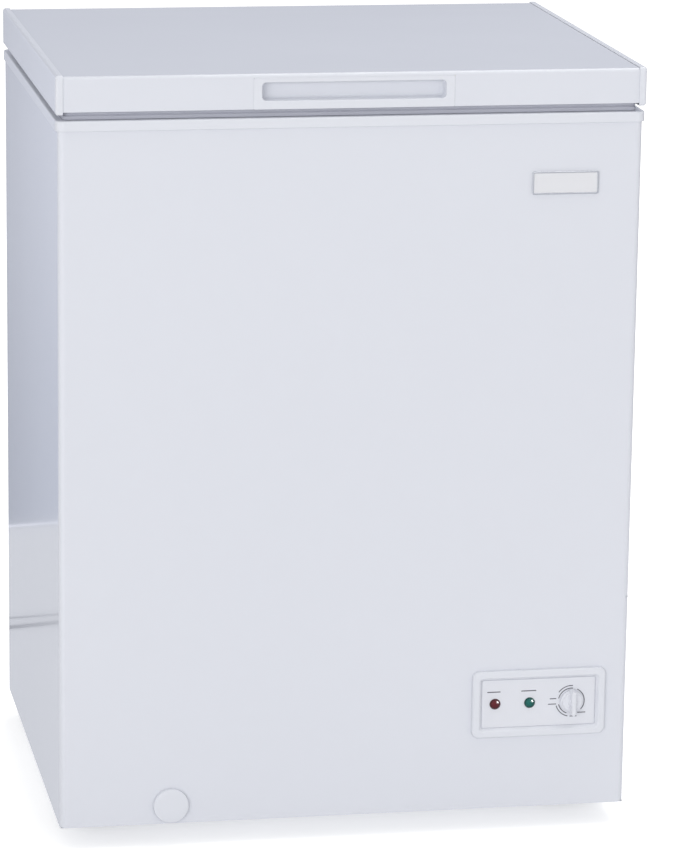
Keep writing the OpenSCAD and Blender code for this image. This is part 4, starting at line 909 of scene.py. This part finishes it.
def lid_outer_skin():
    """Painted sheet over the lid, folded down and hemmed at the front and the rear."""
    x0, y0, z0, x1, y1, z1 = span("lid_skin")
    t, hem, r = SHEET, 7 * MM, 3.5 * MM
    outline = fillet([
        (y0 + hem, z0, 0), (y0, z0, 0.7 * MM), (y0, z1, r), (y1, z1, r), (y1, z0, 0.7 * MM),
        (y1 - hem, z0, 0), (y1 - hem, z0 + t, 0), (y1 - t, z0 + t, 0), (y1 - t, z1 - t, r - t),
        (y0 + t, z1 - t, r - t), (y0 + t, z0 + t, 0), (y0 + hem, z0 + t, 0)], 0, 6, closed=True)
    bm = bmesh.new()
    extrude(bm, outline, x0, x1, sideways)
    skin = to_object(bm, "lid_outer_skin")
    hx0, _, _, hx1, _, hz1 = span("lid_handle")
    gap = 0.07 * MM
    bm = bmesh.new()
    block(bm, (hx0 - gap, y0 - CUT, z0 - CUT), (hx1 + gap, y0 + hem + MM, hz1 + gap))
    carve(skin, bm)
    place(skin, "lid", "white_enamel", "lid_skin")


def lid_side_cap(name, node, side):
    """Moulded channel over the lid's end: a side plate with a rolled rim all round it."""
    x0, y0, z0, x1, y1, z1 = span(node)
    outer, inner = (x1, x0) if side > 0 else (x0, x1)
    wall, rim, corner = 2 * MM, 1.2 * MM, 3.2 * MM
    deep = outer - side * wall
    bm = bmesh.new()
    profile = fillet([(8 * MM, deep), (rim, deep, 0.4 * MM), (rim, inner, 0.5 * MM),
                      (0, inner, 0.6 * MM), (0, outer, corner), (8 * MM, outer)], 0, 6)
    join_loops(bm, rows((y0, z0, y1, z1), lambda d: max(corner - d, 0.6 * MM), profile, sideways))
    place(to_object(bm, name), "lid", "white_trim", node)


def handle_insert():
    """Insert in the lid's front edge with a long finger pocket."""
    x0, y0, z0, x1, y1, z1 = span("lid_handle")
    pocket_w, pocket_h, deep, r = 198 * MM, 19.5 * MM, 14 * MM, 4.6 * MM
    plate_y = y0 + 2.2 * MM
    cz = (span("lid_skin")[2] + span("lid_cap_right")[5]) / 2 - 0.7 * MM
    pocket = (-pocket_w / 2, cz - pocket_h / 2, pocket_w / 2, cz + pocket_h / 2)
    shell = [(-2 * MM, y1), (-2 * MM, plate_y)]
    edge = fillet([(0, plate_y), (0, y0, 0.22 * MM), (1.2 * MM, y0)], 0)
    mouth = fillet([(-1.6 * MM, y0), (0, y0, 1.1 * MM), (1.4 * MM, y0 + deep, 3 * MM),
                    (7 * MM, y0 + deep)], 0, 6)
    loops = rows(pocket, r, shell, upright)
    loops += rows((x0, z0, x1, z1), 1.2 * MM, edge, upright)
    loops += rows(pocket, lambda d: max(r - 0.7 * d, 0.8 * MM), mouth, upright)
    bm = bmesh.new()
    join_loops(bm, loops)
    place(to_object(bm, "handle_insert"), "lid", "white_trim", "lid_handle")


def lid_inner_panel():
    """Vacuum-formed panel under the lid: a flat border, a deep plug and a raised field."""
    x0, y0, bottom, x1, y1, z1 = span("lid_panel")
    border_z = span("lid_gasket")[5]
    field_z = bottom + 1.1 * MM
    lx0, ly0, _, lx1, ly1, _ = span("inner_liner")
    ledge, room = 14 * MM, 7 * MM
    plug = ledge - room
    rect = (lx0 - plug, ly0 - plug, lx1 + plug, ly1 + plug)
    outer = rows((x0, y0, x1, y1), 1.5 * MM, [(0, z1), (0, border_z)])
    drop = fillet([(-1.5 * MM, border_z), (0, border_z, 2.5 * MM), (1.2 * MM, bottom, 4 * MM),
                   (34 * MM, bottom, MM), (36 * MM, field_z, MM), (60 * MM, field_z)], 0, 5)
    corner = 26 * MM
    field = rows(rect, lambda d: max(corner - 0.5 * d, 6 * MM), drop)
    bm = bmesh.new()
    join_loops(bm, outer + field)
    place(to_object(bm, "lid_inner_panel"), "lid", "white_panel", "lid_panel")


def bellows_gasket():
    """Soft seal with a magnet bead at the bottom and two folds above it. half is its outer
    side from the bottom up: millimetres in from the edge, and the share of the height."""
    x0, y0, z0, x1, y1, z1 = span("lid_gasket")
    wide, tall = 13 * MM, z1 - z0
    half = [(0.5, 0), (0.1, 0.01), (0.0, 0.06), (0.0, 0.34), (0.3, 0.40), (1.3, 0.44), (1.4, 0.50),
            (0.4, 0.54), (0.1, 0.64), (0.2, 0.84), (0.9, 0.93), (2.4, 0.97), (3.0, 1.0)]
    outer = [(u * MM, z0 + w * tall) for u, w in half]
    inner = [(wide - u, z) for u, z in reversed(outer)]
    bm = bmesh.new()
    join_loops(bm, rows((x0, y0, x1, y1), lambda d: 6 * MM - 0.35 * d, outer + inner), ring=True)
    place(to_object(bm, "bellows_gasket"), "lid", "gasket_vinyl", "lid_gasket", smooth=60)


# ---------- Hinges ----------

def hinge_shrouds():
    """Moulded covers over the hinge brackets, open towards the lid."""
    _, y0, z0, _, y1, z1 = span("hinge_covers")
    wall, half, ear = 1.5 * MM, 25 * MM, 16 * MM
    ear_y = y1 - wall - 0.3 * MM - ear
    rim_z = span("top_frame")[5] - 5 * MM
    bm = bmesh.new()
    for cx in hinge_centres():
        extrude(bm, fillet([(cx - half, y0, 0), (cx + half, y0, 0), (cx + half, y1, 5 * MM),
                            (cx - half, y1, 5 * MM)], 0, 6, closed=True), z0, z1)
    covers = to_object(bm, "hinge_shrouds")
    bm = bmesh.new()
    for cx in hinge_centres():
        left, right = cx - half + wall, cx + half - wall
        extrude(bm, fillet([(left, y0 - CUT, 0), (right, y0 - CUT, 0), (right, y1 - wall, 3.5 * MM),
                            (left, y1 - wall, 3.5 * MM)], 0, 6, closed=True), z0 + wall, z1 + CUT)
    carve(covers, bm)
    bm = bmesh.new()
    for cx in hinge_centres():
        block(bm, (cx - half - CUT, y0 - CUT, rim_z), (cx + half + CUT, ear_y - MM, z1 + 2 * CUT))
    carve(covers, bm)
    round_edges(covers, 0.45 * MM, 2)
    place(covers, "cabinet", "white_trim", "hinge_covers")


def cross_head(r, h):
    """Pan head with a cross recess, its underside at the origin and its top along +Z."""
    bm = bmesh.new()
    lathe(bm, fillet([(0.3 * r, 0), (r, 0, 0.1 * MM), (r, 0.5 * h, 0.35 * r), (0.02 * r, h)], 0, 4),
          (0, 0, 0), steps=24)
    head = to_object(bm, "head")
    bm = bmesh.new()
    bar_w, bar_l, floor = 0.16 * r, 0.58 * r, h - 0.45 * h
    block(bm, (-bar_l, -bar_w, floor), (bar_l, bar_w, h + CUT))
    carve(head, bm)
    bm = bmesh.new()
    block(bm, (-bar_w, -bar_l, floor), (bar_w, bar_l, h + CUT))
    carve(head, bm)
    mesh = head.data
    bpy.data.objects.remove(head)
    return mesh


def screw_heads(name, node, body):
    """Rear-facing screws: one head for each of the node's screws, and a plain shank behind it."""
    r, h = 4 * MM, 2.2 * MM
    clusters = []
    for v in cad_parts[node].data.vertices:
        for c in clusters:
            if abs(v.co.x - c[0].x) < 2.2 * r and abs(v.co.z - c[0].z) < 2.2 * r:
                c.append(v.co)
                break
        else:
            clusters.append([v.co])
    template = cross_head(r, h)
    bm = bmesh.new()
    for c in clusters:
        lo = Vector(map(min, *c))
        hi = Vector(map(max, *c))
        centre = (lo + hi) / 2
        turn = Matrix.Rotation(math.radians(-90), 4, "X") @ Matrix.Rotation(centre.x * 40, 4, "Z")
        part = bmesh.new()
        part.from_mesh(template)
        bmesh.ops.transform(part, matrix=Matrix.Translation((centre.x, hi.y - h, centre.z)) @ turn,
                            verts=part.verts)
        temp = bpy.data.meshes.new("part")
        part.to_mesh(temp)
        part.free()
        bm.from_mesh(temp)
        bpy.data.meshes.remove(temp)
        lathe(bm, [(r / 2, lo.y), (r / 2, hi.y - h)], (centre.x, 0, centre.z), axis="y", steps=16)
    place(to_object(bm, name), body, "bright_steel", node)


# ---------- Basket ----------

def wire_basket():
    """Coated wire basket: bent wires welded inside two level hoops, under a frame of rails."""
    x0, y0, _, x1, y1, _ = span("basket_walls")
    _, fy0, fz0, _, fy1, fz1 = span("basket_frame")
    thin, thick, bend = 1.5 * MM, 2.5 * MM, 7 * MM
    x0, y0, x1, y1 = x0 + thin, y0 + thin, x1 - thin, y1 - thin
    rail_z = (fz0 + fz1) / 2
    end_z = rail_z - 1.2 * MM
    floor_z = span("basket_floor")[2] + thin
    lap, margin, pitch = 2.6 * MM, 12 * MM, 34 * MM
    bm = bmesh.new()
    nx = int((x1 - x0 - 2 * margin) / pitch)
    ny = int((y1 - y0 - 2 * margin) / pitch)
    for i in range(nx + 1):
        x = x0 + margin + i * (x1 - x0 - 2 * margin) / nx
        wire(bm, bend_path([(x, y0 + lap, end_z), (x, y0 + lap, floor_z), (x, y1 - lap, floor_z),
                            (x, y1 - lap, end_z)], bend), thin)
    for i in range(ny + 1):
        y = y0 + margin + i * (y1 - y0 - 2 * margin) / ny
        low = floor_z + lap
        wire(bm, bend_path([(x0 + lap, y, end_z), (x0 + lap, y, low), (x1 - lap, y, low),
                            (x1 - lap, y, end_z)], bend), thin)
    for z in (floor_z - thin + 14 * MM, (floor_z - thin + rail_z) / 2):
        hoop = rounded_rect(x0, y0, x1, y1, 6 * MM, 5)
        ring = [Vector((u, v, z)) for u, v in hoop]
        loops = []
        for i, p in enumerate(ring):
            ahead = (ring[(i + 1) % len(ring)] - ring[i - 1]).normalized()
            side = ahead.cross(Vector((0, 0, 1)))
            loops.append([p + (side * math.cos(a) + Vector((0, 0, 1)) * math.sin(a)) * thin
                          for a in (2 * math.pi * k / 10 for k in range(10))])
        join_loops(bm, loops, ring=True)
    for x in (x0, x1):
        wire(bm, [(x, fy0 + thick, rail_z), (x, fy1 - thick, rail_z)], thick, 14)
    for y in (y0, y1):
        wire(bm, [(x0 + thick, y, rail_z), (x1 - thick, y, rail_z)], thick * 0.84, 14)
    place(to_object(bm, "wire_basket"), "basket", "coated_wire", "basket_frame", "basket_walls",
          "basket_floor", smooth=50)


def handle_grips():
    """Ribbed plastic sleeves on the basket's cross rails."""
    x0, y0, z0, x1, y1, z1 = span("basket_grips")
    r = (z1 - z0) / 2
    bm = bmesh.new()
    count, plain = 9, 3 * MM
    ribbed = x1 - x0 - 2 * plain
    profile = [(r * 0.5, x0), (r * 0.8, x0 + 0.1 * MM), (r * 0.95, x0 + 1.2 * MM)]
    for i in range(count):
        a = x0 + plain + ribbed * i / count
        b = a + ribbed / count
        profile += [(r * 0.9, a), (r, a + (b - a) * 0.25), (r, a + (b - a) * 0.75), (r * 0.9, b)]
    profile += [(r * 0.95, x1 - 1.2 * MM), (r * 0.8, x1 - 0.1 * MM), (r * 0.5, x1)]
    for y in (y0 + r, y1 - r):
        lathe(bm, profile, (0, y, (z0 + z1) / 2), axis="x", steps=28)
    place(to_object(bm, "handle_grips"), "basket", "dark_plastic", "basket_grips")


make_camera()
make_studio()
dress_cad_nodes()
cabinet_skin()
frame_moulding()
rear_panel()
bay_cover()
vent_grille()
adjustable_feet()
panel_bezel()
panel_fascia()
panel_print()
signal_lamp("signal_lamp_red", "lamp_lens_red", "red_lens")
signal_lamp("signal_lamp_green", "lamp_lens_green", "green_lens")
light_lenses("signal_lamp_red", "signal_lamp_green")
thermostat_dial()
bare_badge()
outer_drain_cap()
lid_outer_skin()
lid_side_cap("lid_side_cap_right", "lid_cap_right", 1)
lid_side_cap("lid_side_cap_left", "lid_cap_left", -1)
handle_insert()
lid_inner_panel()
bellows_gasket()
hinge_shrouds()
screw_heads("bay_cover_screws", "rear_cover_screws", "cabinet")
screw_heads("hinge_bracket_screws", "hinge_base_screws", "cabinet")
screw_heads("hinge_arm_heads", "hinge_arm_screws", "lid")
wire_basket()
handle_grips()
